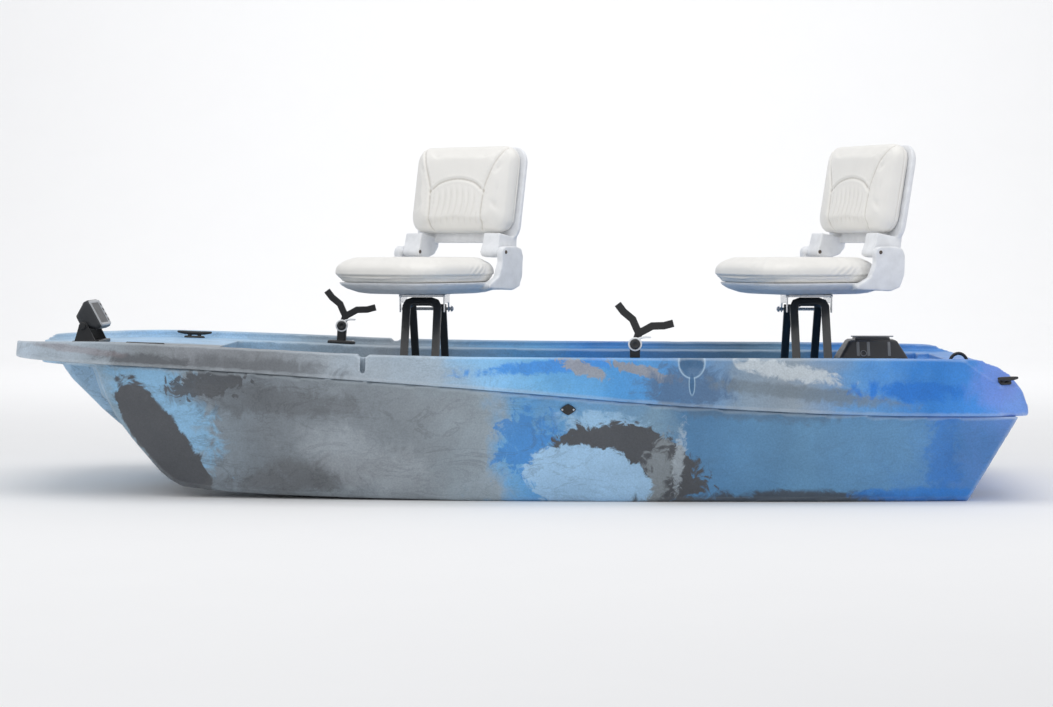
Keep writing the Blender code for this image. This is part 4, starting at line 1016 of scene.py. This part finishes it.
@dataclass
class Hull(SubAssembly):
    """Three-hulled tub with its two side plugs."""

    cell_mm: float = 7.0
    most: int = 170000
    screw_r: float = 0.0032
    screw_out: float = 0.0165   # from the plug's middle

    def build(self) -> None:
        """Soften the tub and screw the plugs on."""
        self.soften("hull_tub", self.cell_mm, HULL_SKIN, Slot.HULL, "boat", 2, self.most)
        for side, word in ((-1, "port"), (1, "starboard")):
            node = word + "_side_plug"
            self.soften(node, 0.8, NYLON, Slot.BLACK, "boat", 2, 6000)
            low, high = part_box(node)
            middle = (low + high) / 2
            for end in (-1, 1):
                at = Vector((middle.x + end * self.screw_out,
                             (high.y if side > 0 else low.y) - side * 0.0008, middle.z))
                head = from_bmesh("%s_plug_screw_%s" % (word, "ab"[end > 0]),
                                  screw_head(self.screw_r, 0.0014),
                                  facing(at, (0, side, -0.24)))
                self.keep(head, ZINC, Slot.ZINC, "boat")


@dataclass
class Deck(SubAssembly):
    """Deck and rim moulding with its cleats and lashing loop."""

    cell_mm: float = 5.0
    most: int = 185000
    screw_r: float = 0.0035

    def build(self) -> None:
        """Soften the deck and fit the cleats and the loop."""
        self.soften("deck_rim", self.cell_mm, RIM_SKIN, Slot.DECK, "boat", 2, self.most)
        for word in ("port", "starboard"):
            for place in ("bow", "stern"):
                self.soften("%s_cleat_%s" % (place, word), 0.9, NYLON, Slot.BLACK, "boat", 3,
                            9000)
            low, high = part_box("bow_cleat_" + word)
            for end in (-1, 1):
                at = ((low.x + high.x) / 2 + end * 0.026, (low.y + high.y) / 2, low.z + 0.0058)
                head = from_bmesh("bow_cleat_%s_screw_%s" % (word, "ab"[end > 0]),
                                  screw_head(self.screw_r, 0.0016), Matrix.Translation(at))
                self.keep(head, ZINC, Slot.ZINC, "boat")
        self.soften("stern_handle", 0.9, NYLON, Slot.BLACK, "boat", 3, 9000)


@dataclass
class Seam:
    """A sewn line on a cushion's face.

    Attributes:
        line: its points, metres in the face's own two directions.
        depth: how far it pulls in.
        width: half width of the valley.
        pucker: height of the gathers beside it.
    """

    line: tuple[tuple[float, float], ...]
    depth: float = 0.0042
    width: float = 0.0048
    pucker: float = 0.0003


def distance_to(line: Sequence[tuple[float, float]], u: np.ndarray, v: np.ndarray
                ) -> tuple[np.ndarray, np.ndarray]:
    """Distance of points to a line of segments, and how far along it they are.

    Args:
        line: the line's points.
        u: first coordinates.
        v: second coordinates.

    Returns:
        The distances, and the lengths along the line.
    """
    best = np.full(len(u), 1e9)
    travel = np.zeros(len(u))
    gone = 0.0
    for (u0, v0), (u1, v1) in zip(line, line[1:]):
        du, dv = u1 - u0, v1 - v0
        size = math.hypot(du, dv)
        t = np.clip(((u - u0) * du + (v - v0) * dv) / (size * size), 0, 1)
        away = np.hypot(u - u0 - t * du, v - v0 - t * dv)
        nearer = away < best
        best = np.where(nearer, away, best)
        travel = np.where(nearer, gone + t * size, travel)
        gone += size
    return best, travel


def smooth_line(points: Sequence[tuple[float, float]], steps: int = 8
                ) -> tuple[tuple[float, float], ...]:
    """Pass a smooth curve through points (Catmull-Rom).

    Args:
        points: the points.
        steps: pieces between two points.

    Returns:
        The curve's points.
    """
    pts = [np.array(p, float) for p in points]
    pts = [2 * pts[0] - pts[1]] + pts + [2 * pts[-1] - pts[-2]]
    out = []
    for a, b, c, d in zip(pts, pts[1:], pts[2:], pts[3:]):
        for k in range(steps):
            t = k / steps
            out.append(0.5 * ((2 * b) + (c - a) * t + (2 * a - 5 * b + 4 * c - d) * t * t
                              + (3 * b - a - 3 * c + d) * t ** 3))
    out.append(pts[-2])
    return tuple((float(p[0]), float(p[1])) for p in out)


@dataclass
class Upholstery:
    """Turns a CAD cushion into swollen, sewn vinyl in the seat's own frame."""

    cell_mm: float = 6.0
    shrink: float = 0.004       # the pad starts this far inside its solid
    pressure: float = 4.0
    frames: int = 20
    cap: float = 0.006          # most that a point may move

    def swell(self, name: str, node: str, into: Matrix, pinned: Callable) -> bpy.types.Object:
        """Remesh a cushion, blow it up as foam under a tight cover, and smooth it.

        Args:
            name: the new object's name.
            node: the CAD cushion.
            into: matrix from the row frame to the seat's own frame.
            pinned: tells from local points which ones rest on the shell.

        Returns:
            The cushion, in the seat's own frame.
        """
        made = welded_copy(name, node)
        made.data.transform(into)
        with_modifier(made, "REMESH", mode="VOXEL", voxel_size=self.cell_mm * MM,
                      use_smooth_shade=True)
        with_modifier(made, "SMOOTH", factor=0.5, iterations=3)
        start = self.points(made)
        flat = pinned(start)
        inner = start - self.normals(made) * self.shrink
        inner[flat] = start[flat]
        self.set_points(made, inner)
        group = made.vertex_groups.new(name="rests")
        group.add([int(k) for k in np.flatnonzero(flat)], 1.0, "REPLACE")
        cloth = made.modifiers.new("Cloth", "CLOTH")
        cloth.settings.use_pressure = True
        cloth.settings.uniform_pressure_force = self.pressure
        cloth.settings.quality = 5
        cloth.settings.mass = 0.3
        cloth.settings.tension_stiffness = 25
        cloth.settings.compression_stiffness = 25
        cloth.settings.bending_stiffness = 2.0
        cloth.settings.vertex_group_mass = "rests"
        cloth.settings.effector_weights.gravity = 0.0
        cloth.point_cache.frame_start = 1
        cloth.point_cache.frame_end = self.frames
        scene = bpy.context.scene
        for number in range(1, self.frames + 1):
            scene.frame_set(number)
        settle(made)
        scene.frame_set(1)
        made.vertex_groups.clear()
        moved = self.points(made) - start
        far = np.linalg.norm(moved, axis=1, keepdims=True)
        capped = start + moved * np.minimum(1.0, self.cap / np.maximum(far, 1e-9))
        self.set_points(made, capped)
        with_modifier(made, "SMOOTH", factor=0.5, iterations=4)
        with_modifier(made, "SUBSURF", levels=1, render_levels=1)
        return made

    def sew(self, made: bpy.types.Object, seams: Sequence[Seam], axes: tuple[int, int, int],
            face: float = 1.0, least: float = 0.35) -> None:
        """Pull seams into the face of a cushion, with a small gather beside each.

        Args:
            made: the cushion, in its own frame.
            seams: the sewn lines.
            axes: numbers of the two directions of the face, then of its normal.
            face: sign of the face's normal.
            least: how squarely a point has to look that way.
        """
        points, normals = self.points(made), self.normals(made)
        u, v = points[:, axes[0]], points[:, axes[1]]
        look = np.clip((normals[:, axes[2]] * face - least) / 0.3, 0, 1)
        pull = np.zeros(len(points))
        for seam in seams:
            away, along = distance_to(seam.line, u, v)
            pull -= seam.depth * np.exp(-(away / seam.width) ** 2)
            pull += seam.depth * 0.22 * np.exp(-((away - seam.width * 2.1)
                                                 / (seam.width * 0.8)) ** 2)
            pull += seam.pucker * np.sin(along * 2 * math.pi / 0.016) * np.exp(
                -((away - 0.010) / 0.008) ** 2)
        self.set_points(made, points + normals * (pull * look)[:, None])

    def points(self, made: bpy.types.Object) -> np.ndarray:
        """The mesh's points as an array."""
        flat = np.zeros(len(made.data.vertices) * 3)
        made.data.vertices.foreach_get("co", flat)
        return flat.reshape(-1, 3)

    def normals(self, made: bpy.types.Object) -> np.ndarray:
        """The mesh's point normals as an array."""
        flat = np.zeros(len(made.data.vertices) * 3, np.float32)
        made.data.vertex_normals.foreach_get("vector", flat)
        return flat.reshape(-1, 3).astype(float)

    def set_points(self, made: bpy.types.Object, points: np.ndarray) -> None:
        """Move the mesh's points."""
        made.data.vertices.foreach_set("co", points.astype(np.float32).ravel())
        made.data.update()


@dataclass
class SeatPattern:
    """The two cushions that both seats share, made once in the seat's own frame."""

    upholstery: Upholstery = field(default_factory=Upholstery)
    side_seam: float = 0.108    # half width of the back's middle panel
    seat_rests: float = 0.0420  # seat points below this height rest on the shell
    back_rests: float = -0.0640  # back points behind this plane rest on the shell
    welt_up: float = 0.0555     # height of the seam round the seat cushion
    arch_top: float = 0.236     # top of the back's sewn arch, along the back
    arch_drop: float = 0.040    # how far the arch falls to its ends
    rib_pitch: float = 0.024    # pleats of the back's lower panel
    seat: Optional[bpy.types.Object] = None
    back: Optional[bpy.types.Object] = None

    def make(self, seat_frame: Matrix, back_frame: Matrix) -> None:
        """Swell both cushions from the front seat's solids, sew the back and draw in the welt.

        Args:
            seat_frame: the front seat's frame.
            back_frame: the front backrest's frame.
        """
        sew = self.upholstery
        self.seat = sew.swell("seat_cushion_pattern", "front_seat_cushion",
                              seat_frame.inverted(), lambda p: p[:, 2] < self.seat_rests)
        self.back = sew.swell("back_cushion_pattern", "front_back_cushion",
                              back_frame.inverted(), lambda p: p[:, 0] < self.back_rests)
        self.welt()
        sew.sew(self.back, self.back_seams(), (1, 2, 0), 1.0, 0.25)
        self.pleat()

    def back_seams(self) -> list[Seam]:
        """Seams of the back: two side panels that bow in, and an arch between them."""
        half = self.side_seam
        seams = []
        for side in (-1, 1):
            seams.append(Seam(smooth_line([(side * 0.170, 0.348), (side * 0.140, 0.285),
                                           (side * (half + 0.006), 0.222),
                                           (side * half, 0.185), (side * (half - 0.003), 0.130),
                                           (side * (half - 0.002), 0.090),
                                           (side * (half - 0.014), 0.064)])))
        seams.append(Seam(smooth_line([(-half, 0.196), (-0.066, 0.224), (0.0, self.arch_top),
                                       (0.066, 0.224), (half, 0.196)])))
        return seams

    def welt(self) -> None:
        """Draw in the seam that runs round the seat cushion just above its shell."""
        sew = self.upholstery
        points, normals = sew.points(self.seat), sew.normals(self.seat)
        across = np.clip((0.75 - np.abs(normals[:, 2])) / 0.3, 0, 1)
        height = points[:, 2] - self.welt_up
        pull = -0.0026 * np.exp(-(height / 0.0032) ** 2)
        pull += 0.0012 * np.exp(-((height - 0.0075) / 0.0035) ** 2)
        # loose cover gathers in short folds near the rear corners
        corner = np.exp(-((points[:, 0] + 0.02) / 0.055) ** 2)
        folds = np.sin((points[:, 0] * 0.8 + points[:, 2] * 1.1) * 2 * math.pi / 0.021)
        pull += 0.0010 * corner * folds
        sew.set_points(self.seat, points + normals * (pull * across)[:, None])

    def pleat(self) -> None:
        """Raise soft upright pleats in the back's lower panel, and draw in its edge seam."""
        sew = self.upholstery
        points, normals = sew.points(self.back), sew.normals(self.back)
        y, up = points[:, 1], points[:, 2]
        arch = self.arch_top - self.arch_drop * (y / self.side_seam) ** 2
        inside = np.clip((arch - 0.014 - up) / 0.030, 0, 1) * np.clip(
            (self.side_seam - 0.010 - np.abs(y)) / 0.012, 0, 1) * np.clip(
            (up - 0.080) / 0.030, 0, 1)
        look = np.clip((normals[:, 0] - 0.4) / 0.3, 0, 1)
        pull = 0.0013 * inside * look * np.sin(
            (y + 0.010 * np.sin(up * 28.0)) * 2 * math.pi / self.rib_pitch)
        across = np.clip((0.7 - np.abs(normals[:, 0])) / 0.3, 0, 1)
        pull -= 0.0024 * across * np.exp(-((points[:, 0] + 0.050) / 0.0032) ** 2)
        sew.set_points(self.back, points + normals * pull[:, None])

    def copies(self, which: str, pattern: bpy.types.Object, place: Matrix, tag: str
               ) -> bpy.types.Object:
        """Copy a pattern cushion into a seat's place.

        Args:
            which: front or rear.
            pattern: the cushion in the seat's own frame.
            place: that seat's or backrest's frame.
            tag: the copy's name after the seat's.

        Returns:
            The new object.
        """
        mesh = pattern.data.copy()
        mesh.transform(place)
        made = as_object("%s_%s" % (which, tag), mesh)
        for face in mesh.polygons:
            face.use_smooth = True
        return made

    def clear(self) -> None:
        """Remove the two patterns once both seats have their copies."""
        for pattern in (self.seat, self.back):
            bpy.data.objects.remove(pattern)


@dataclass
class Seat(SubAssembly):
    """Folding seat: moulded shells, vinyl cushions and hinge bolts."""

    which: str = "front"
    turn: float = 55.0          # degrees from facing the bow
    recline: float = 10.0
    pattern: Optional[SeatPattern] = None
    hinge_back: float = 0.130
    hinge_up: float = 0.130
    lug_out: float = 0.222
    arm_in: float = 0.126
    bolt_r: float = 0.0060

    def seat_frame(self) -> Matrix:
        """Frame at the swivel, X towards the sitter's knees."""
        at = Vector(JOINTS[self.which + "_seat_swivel"]["pos_m"])
        return Matrix.Translation((at.x, at.y, SEAT_Z)) @ Matrix.Rotation(
            math.radians(180 + self.turn), 4, "Z")

    def back_frame(self) -> Matrix:
        """Frame at the back's hinge, Z along the back."""
        return self.seat_frame() @ Matrix.Translation(
            (-self.hinge_back, 0, self.hinge_up)) @ Matrix.Rotation(
            math.radians(-self.recline), 4, "Y")

    def build(self) -> None:
        """Soften the shells, place the cushions and fit the bolts."""
        seat, rest = self.which + "_seat", self.which + "_backrest"
        self.soften(seat + "_shell", 3.0, SHELL, Slot.SEAT, seat, 9, 34000)
        self.soften(seat + "_back", 3.0, SHELL, Slot.SEAT, rest, 9, 34000)
        if self.pattern.seat is None:
            self.pattern.make(self.seat_frame(), self.back_frame())
        cushion = self.pattern.copies(self.which, self.pattern.seat, self.seat_frame(),
                                      "seat_cushion_vinyl")
        self.keep(cushion, VINYL, Slot.VINYL, seat, seat + "_cushion")
        back = self.pattern.copies(self.which, self.pattern.back, self.back_frame(),
                                   "back_cushion_vinyl")
        self.keep(back, VINYL, Slot.VINYL, rest, self.which + "_back_cushion")
        self.bolts(seat, rest)

    def bolts(self, seat: str, rest: str) -> None:
        """Fit a bolt head outside each lug and a cap inside each arm.

        Args:
            seat: the seat's body.
            rest: the backrest's body.
        """
        place = self.seat_frame()
        for side, word in ((1, "left"), (-1, "right")):
            for spot, body, tag, way in (
                    (self.lug_out - 0.0006, seat, "outer", side),
                    (self.arm_in + 0.0006, rest, "inner", -side)):
                at = place @ Vector((-self.hinge_back, side * spot, self.hinge_up))
                axis = place.to_3x3() @ Vector((0, way, 0))
                head = from_bmesh("%s_%s_hinge_bolt_%s" % (self.which, word, tag),
                                  screw_head(self.bolt_r, 0.0028), facing(at, axis))
                self.keep(head, BOLT, Slot.ZINC, body)


@dataclass
class Stand(SubAssembly):
    """Folding seat stand: two leg frames, the head plate and its nuts."""

    which: str = "front"
    axle_z: tuple[float, float] = (0.570, 0.548)
    axle_y: float = 0.118
    axle_half: float = 0.082

    def build(self) -> None:
        """Soften the frames and the head, and put nuts on the lower axle."""
        frames, head = self.which + "_stand_frame_", self.which + "_stand_head"
        for word in ("port", "starboard"):
            self.soften(frames + word, 1.6, COAT, Slot.BLACK_STEEL, "boat", 3, 16000)
        self.soften(head, 1.4, ZINC, Slot.ZINC, "boat", 2, 16000)
        low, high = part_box(head)
        middle = (low.x + high.x) / 2
        for end in (-1, 1):
            at = (middle + end * (self.axle_half - 0.0075), self.axle_y, self.axle_z[1])
            nut = from_bmesh("%s_stand_nut_%s" % (self.which, "ab"[end > 0]),
                             hexagon_nut(0.0085, 0.0062, 0.0048), facing(at, (end, 0, 0)))
            self.keep(nut, ZINC, Slot.ZINC, "boat")


@dataclass
class RodRest(SubAssembly):
    """Tilting rod rest: post, forked head, white clamp ring, knob and lever."""

    which: str = "front"
    ring_r: float = 0.0205
    ring_out: float = 0.0165    # from the head's middle plane to the ring
    screw_x: float = 0.037

    def build(self) -> None:
        """Soften both mouldings and fit the clamp and the base screws."""
        post, head = self.which + "_rod_rest_post", self.which + "_rod_rest_head"
        self.soften(post, 0.9, NYLON, Slot.BLACK, "boat", 3, 14000)
        self.soften(head, 0.9, NYLON, Slot.BLACK, self.which + "_rod_rest", 3, 14000)
        at = Vector(JOINTS[self.which + "_rod_rest_tilt"]["pos_m"])
        near = Matrix.Translation(at) @ Matrix.Rotation(math.radians(90), 4, "X")
        ring = turned([(self.ring_r - 0.0050, self.ring_out - 0.0010),
                       (self.ring_r, self.ring_out - 0.0010), (self.ring_r, 0.0195),
                       (self.ring_r - 0.0012, 0.0210), (self.ring_r - 0.0040, 0.0212),
                       (self.ring_r - 0.0050, 0.0200)], 36)
        self.keep(from_bmesh(self.which + "_rest_clamp_ring", ring, near), ACETAL, Slot.GREY,
                  "boat")
        hub = turned([(self.ring_r - 0.0052, self.ring_out - 0.0010),
                      (self.ring_r - 0.0052, 0.0222), (self.ring_r - 0.0070, 0.0240),
                      (0.0060, 0.0246), (0.0052, 0.0236), (0.0020, 0.0234)], 28)
        self.keep(from_bmesh(self.which + "_rest_clamp_hub", hub, near), NYLON, Slot.BLACK,
                  "boat")
        lever = plate([(0.012, 0.0140), (0.030, 0.0190), (0.044, 0.0176), (0.0475, 0.0200),
                       (0.045, 0.0232), (0.030, 0.0245), (0.016, 0.0215), (0.008, 0.0192)],
                      0.0158, 0.0200, 0.0010)
        self.keep(from_bmesh(self.which + "_rest_clamp_lever", lever, near), ACETAL, Slot.GREY,
                  "boat")
        low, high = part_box(post)
        for end in (-1, 1):
            for row in (-1, 1):
                spot = ((low.x + high.x) / 2 + end * self.screw_x,
                        (low.y + high.y) / 2 + row * 0.014,
                        low.z + 0.0098 + (0.0006 if end > 0 else 0.0))
                screw = from_bmesh("%s_rest_screw_%s%s" % (self.which, "ab"[end > 0],
                                                           "cd"[row > 0]),
                                   screw_head(0.0034, 0.0018), Matrix.Translation(spot))
                self.keep(screw, ZINC, Slot.ZINC, "boat")


@dataclass
class Sounder(SubAssembly):
    """Depth sounder on its tilting bracket, with a silver bezel and a blank screen."""

    lean: float = 28.0
    half_w: float = 0.076
    height: float = 0.096
    low: float = -0.030
    face: float = 0.052

    def build(self) -> None:
        """Soften the case and bracket, and fit the bezel, the screen and the keys."""
        self.soften("sounder_bracket", 1.0, NYLON, Slot.BLACK, "boat", 2, 14000)
        self.soften("sounder_unit", 1.2, BODY, Slot.BLACK, "sounder", 3, 16000)
        at = Vector(JOINTS["sounder_tilt"]["pos_m"])
        tilt = Matrix.Translation(at) @ Matrix.Rotation(math.radians(-self.lean), 4, "Y")
        middle = self.low + self.height / 2
        # local X and Y of the plates are across and up the face, Z out of it
        front = tilt @ Matrix.Translation((self.face, 0, middle)) @ Matrix(
            ((0, 0, 1, 0), (1, 0, 0, 0), (0, 1, 0, 0), (0, 0, 0, 1)))
        bezel = self.rim(self.half_w - 0.0015, self.height / 2 - 0.0015, 0.052, 0.0335)
        self.keep(from_bmesh("sounder_bezel", bezel, front), BEZEL, Slot.GREY, "sounder")
        screen = plate(rounded(0.0525, 0.0340, 0.003), -0.0030, -0.0004, 0.0004, 1)
        self.keep(from_bmesh("sounder_screen", screen, front @ Matrix.Translation(
            (-0.012, 0, 0))), GLASS, Slot.BLACK, "sounder")
        for number in range(4):
            key = plate(rounded(0.0065, 0.0045, 0.002), -0.001, 0.0022, 0.0008, 2)
            spot = front @ Matrix.Translation((0.0575, 0.026 - 0.0173 * number, 0))
            self.keep(from_bmesh("sounder_key_%d" % number, key, spot), NYLON, Slot.BLACK,
                      "sounder")

    def rim(self, half_w: float, half_h: float, hole_w: float, hole_h: float
            ) -> bmesh.types.BMesh:
        """Bezel frame with an opening set to one side for the keys.

        Args:
            half_w: half its width.
            half_h: half its height.
            hole_w: half the opening's width.
            hole_h: half the opening's height.

        Returns:
            The closed shape.
        """
        shape = bmesh.new()
        rings = []
        for outline, height, shift in (
                (rounded(half_w, half_h, 0.012), -0.0240, 0.0),
                (rounded(half_w, half_h, 0.012), -0.0060, 0.0),
                (rounded(half_w - 0.004, half_h - 0.004, 0.010), 0.0010, 0.0),
                (rounded(half_w - 0.007, half_h - 0.007, 0.008), 0.0016, 0.0),
                (rounded(hole_w + 0.002, hole_h + 0.002, 0.005), 0.0008, -0.012),
                (rounded(hole_w, hole_h, 0.004), -0.0016, -0.012),
                (rounded(hole_w, hole_h, 0.004), -0.0240, -0.012)):
            rings.append([shape.verts.new((x + shift, y, height)) for x, y in outline])
        rings.append(rings[0])
        for low, high in zip(rings, rings[1:]):
            for k in range(len(low)):
                j = (k + 1) % len(low)
                shape.faces.new((low[k], low[j], high[j], high[k]))
        return shape


@dataclass
class BatteryBox(SubAssembly):
    """Battery box with a ribbed, hinged lid and a grip."""

    rib_w: float = 0.0045

    def build(self) -> None:
        """Soften the box and lid, and add the lid's ribs, its grip and a ridge along its top."""
        self.soften("battery_box", 1.8, BATTERY, Slot.BLACK, "boat", 3, 22000)
        self.soften("battery_box_lid", 1.5, BATTERY, Slot.BLACK, "battery_lid", 3, 26000)
        low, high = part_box("battery_box_lid")
        x0, x1, y0 = low.x, high.x, low.y
        foot, top = low.z + 0.012, high.z - 0.010
        lean = (0.034 * 0.8 - 0.003) / (0.062 - 0.012)
        for number, x in enumerate((x0 + 0.062, x0 + 0.094, x1 - 0.062)):
            rib = plate(rounded(self.rib_w, (top - foot) / 2 - 0.003, 0.002), -0.002, 0.0013,
                        0.0008)
            at = (x, y0 + 0.003 + lean * (top - foot) / 2 + 0.001, (top + foot) / 2)
            self.keep(from_bmesh("battery_lid_rib_%d" % number, rib,
                                 facing(at, (0, -1, lean), (1, 0, 0))),
                      BATTERY, Slot.BLACK, "battery_lid")
        grip = turned([(0.0105, -0.002), (0.0105, 0.0020), (0.0095, 0.0030), (0.0075, 0.0030),
                       (0.0068, 0.0016), (0.0020, 0.0014)], 28)
        at = (x0 + 0.078, y0 + 0.003 + lean * 0.014 + 0.001, foot + 0.013)
        self.keep(from_bmesh("battery_lid_catch", grip, facing(at, (0, -1, lean))),
                  BATTERY, Slot.BLACK, "battery_lid")
        ridge = plate(rounded(0.066, 0.0035, 0.003), -0.001, 0.0028, 0.0013)
        self.keep(from_bmesh("battery_lid_handle", ridge, Matrix.Translation(
            ((x0 + x1) / 2, (y0 + high.y) / 2 - 0.030, high.z))), BEZEL, Slot.GREY,
            "battery_lid")


@dataclass
class Drive(SubAssembly):
    """Thruster in its tunnel with a three-bladed propeller."""

    side: str = "port"

    def build(self) -> None:
        """Soften the pod and propeller, and fit the nose ring and hub nut."""
        self.soften(self.side + "_thruster", 1.4, BODY, Slot.BLACK, self.side + "_drive", 3,
                    14000)
        self.soften(self.side + "_propeller", 0.9, NYLON, Slot.BLACK, self.side + "_prop", 2,
                    16000)
        at = Vector(JOINTS[self.side + "_propeller_spin"]["pos_m"])
        low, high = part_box(self.side + "_propeller")
        nut = turned([(0.0060, -0.006), (0.0060, 0.001), (0.0050, 0.0022), (0.0020, 0.0025)], 16)
        self.keep(from_bmesh(self.side + "_propeller_nut", nut,
                             facing((high.x - 0.001, at.y, at.z), (1, 0, 0))),
                  ZINC, Slot.ZINC, self.side + "_prop")
        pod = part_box(self.side + "_thruster")
        band = turned([(0.0255, -0.005), (0.0268, -0.0040), (0.0268, 0.0040), (0.0255, 0.005)],
                      32)
        self.keep(from_bmesh(self.side + "_thruster_band", band,
                             facing((pod[0].x + 0.045, at.y, at.z), (1, 0, 0))),
                  NYLON, Slot.BLACK, self.side + "_drive")


@dataclass
class Pedal(SubAssembly):
    """Rocking foot pedal with raised rubber tread bars."""

    which: str = "front"
    rest: float = 12.0
    length: float = 0.240
    width: float = 0.100
    top: float = 0.024
    bars: int = 9

    def build(self) -> None:
        """Soften the base and plate, and add the tread."""
        self.soften(self.which + "_pedal_base", 1.4, NYLON, Slot.BLACK, "boat", 2, 12000)
        self.soften(self.which + "_foot_pedal", 1.4, BODY, Slot.BLACK, self.which + "_pedal",
                    2, 16000)
        at = Vector(JOINTS[self.which + "_pedal_rock"]["pos_m"])
        tread = Matrix.Translation(at) @ Matrix.Rotation(math.radians(self.rest), 4, "Y")
        pitch = (self.length - 0.030) / (self.bars - 1)
        for number in range(self.bars):
            bar = plate(rounded(0.0055, self.width / 2 - 0.010, 0.003), -0.0006, 0.0020, 0.0010)
            x = -self.length / 2 + 0.015 + pitch * number
            self.keep(from_bmesh("%s_tread_bar_%d" % (self.which, number), bar,
                                 tread @ Matrix.Translation((x, 0, self.top))),
                      TREAD, Slot.RUBBER, self.which + "_pedal")


# ---------------------------------------------------------------- studio
@dataclass
class Softbox:
    """A rectangular studio light.

    Attributes:
        name: its name.
        at: where it hangs.
        target: what it points at.
        size: width and height.
        watts: its power.
        colour: hex colour of its light.
    """

    name: str
    at: Point
    target: Point
    size: tuple[float, float]
    watts: float
    colour: str = "#ffffff"


@dataclass
class Studio:
    """Pale sweep, soft lights and the camera."""

    camera_at: Point = (0.268, -7.5, 0.774)
    yaw: float = 1.7638
    pitch: float = 2.7737
    lens: float = 81.5
    lights: tuple[Softbox, ...] = (
        Softbox("overhead_softbox", (0.0, -0.8, 4.2), (0.0, 0.0, 0.3), (5.0, 3.0), 70),
        Softbox("front_softbox", (-1.5, -6.0, 2.6), (0.0, 0.0, 0.3), (3.5, 2.0), 34),
        Softbox("stern_softbox", (4.6, -1.6, 2.2), (0.4, 0.0, 0.3), (2.0, 2.0), 16),
        Softbox("bow_softbox", (-4.6, -1.6, 2.2), (-0.4, 0.0, 0.3), (2.0, 2.0), 12),
        Softbox("sweep_wash", (0.0, 4.0, 5.5), (0.0, 10.5, 2.0), (9.0, 2.0), 260),
    )
    world: float = 0.62

    def build(self) -> None:
        """Build the sweep, the lights and the camera."""
        bpy.context.scene.view_settings.view_transform = "Standard"
        self.sweep()
        for light in self.lights:
            self.hang(light)
        self.fill()
        self.aim()

    def sweep(self) -> None:
        """Floor that curves up into a backdrop far behind the boat."""
        shape = bmesh.new()
        line = [(-14.0, 0.0), (7.0, 0.0)]
        line += [(7.0 + 4.0 * math.sin(a), 4.0 - 4.0 * math.cos(a))
                 for a in (math.pi / 2 * k / 16 for k in range(1, 17))]
        line.append((11.0, 12.0))
        rows = [[shape.verts.new((x, y, z)) for y, z in line] for x in (-16.0, 16.0)]
        for k in range(len(line) - 1):
            shape.faces.new((rows[0][k], rows[1][k], rows[1][k + 1], rows[0][k + 1]))
        floor = from_bmesh("studio_sweep", shape)
        floor.data.materials.append(PAPER.material())

    def hang(self, box: Softbox) -> None:
        """Hang one light and turn it to its target.

        Args:
            box: the light.
        """
        lamp = bpy.data.lights.new(box.name, "AREA")
        lamp.shape = "RECTANGLE"
        lamp.size, lamp.size_y = box.size
        lamp.energy = box.watts
        lamp.color = linear(box.colour)[:3]
        made = bpy.data.objects.new(box.name, lamp)
        bpy.context.scene.collection.objects.link(made)
        made.location = box.at
        made.rotation_euler = (Vector(box.target) - Vector(box.at)).to_track_quat(
            "-Z", "Y").to_euler()

    def fill(self) -> None:
        """Even light from all round."""
        world = bpy.data.worlds.new("studio_fill")
        world.use_nodes = True
        world.node_tree.nodes["Background"].inputs[0].default_value = linear("#fbfcff")
        world.node_tree.nodes["Background"].inputs[1].default_value = self.world
        bpy.context.scene.world = world

    def aim(self) -> None:
        """Place the camera abeam of the boat, a little above the rim."""
        yaw, pitch = math.radians(self.yaw), math.radians(self.pitch)
        ahead = Vector((-math.sin(yaw) * math.cos(pitch), math.cos(yaw) * math.cos(pitch),
                        -math.sin(pitch)))
        lens = bpy.data.cameras.new("abeam")
        lens.lens = self.lens
        lens.sensor_width = 36.0
        made = bpy.data.objects.new("abeam", lens)
        bpy.context.scene.collection.objects.link(made)
        made.location = self.camera_at
        made.rotation_euler = ahead.to_track_quat("-Z", "Y").to_euler()
        bpy.context.scene.camera = made


SEAT_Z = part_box("front_seat_shell")[0].z


def main() -> None:
    """Build every sub-assembly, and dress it."""
    logging.basicConfig(level=logging.INFO, format="%(message)s")
    Studio().build()
    pattern = SeatPattern()
    parts: list[SubAssembly] = [
        Hull("hull"), Deck("deck"),
        Seat("front seat", which="front", turn=55.0, pattern=pattern),
        Seat("rear seat", which="rear", turn=27.0, pattern=pattern),
        Stand("front stand", which="front"), Stand("rear stand", which="rear"),
        RodRest("front rod rest", which="front"), RodRest("rear rod rest", which="rear"),
        Sounder("sounder"), BatteryBox("battery box"),
        Drive("port drive", side="port"), Drive("starboard drive", side="starboard"),
        Pedal("front pedal", which="front"), Pedal("rear pedal", which="rear"),
    ]
    for part in parts:
        part.build()
        part.dress()
    pattern.clear()
    whole = sum(triangles(p.shape) for part in parts for p in part.pieces)
    log.info("%d triangles in all", whole)


if __name__ == "__main__":
    main()
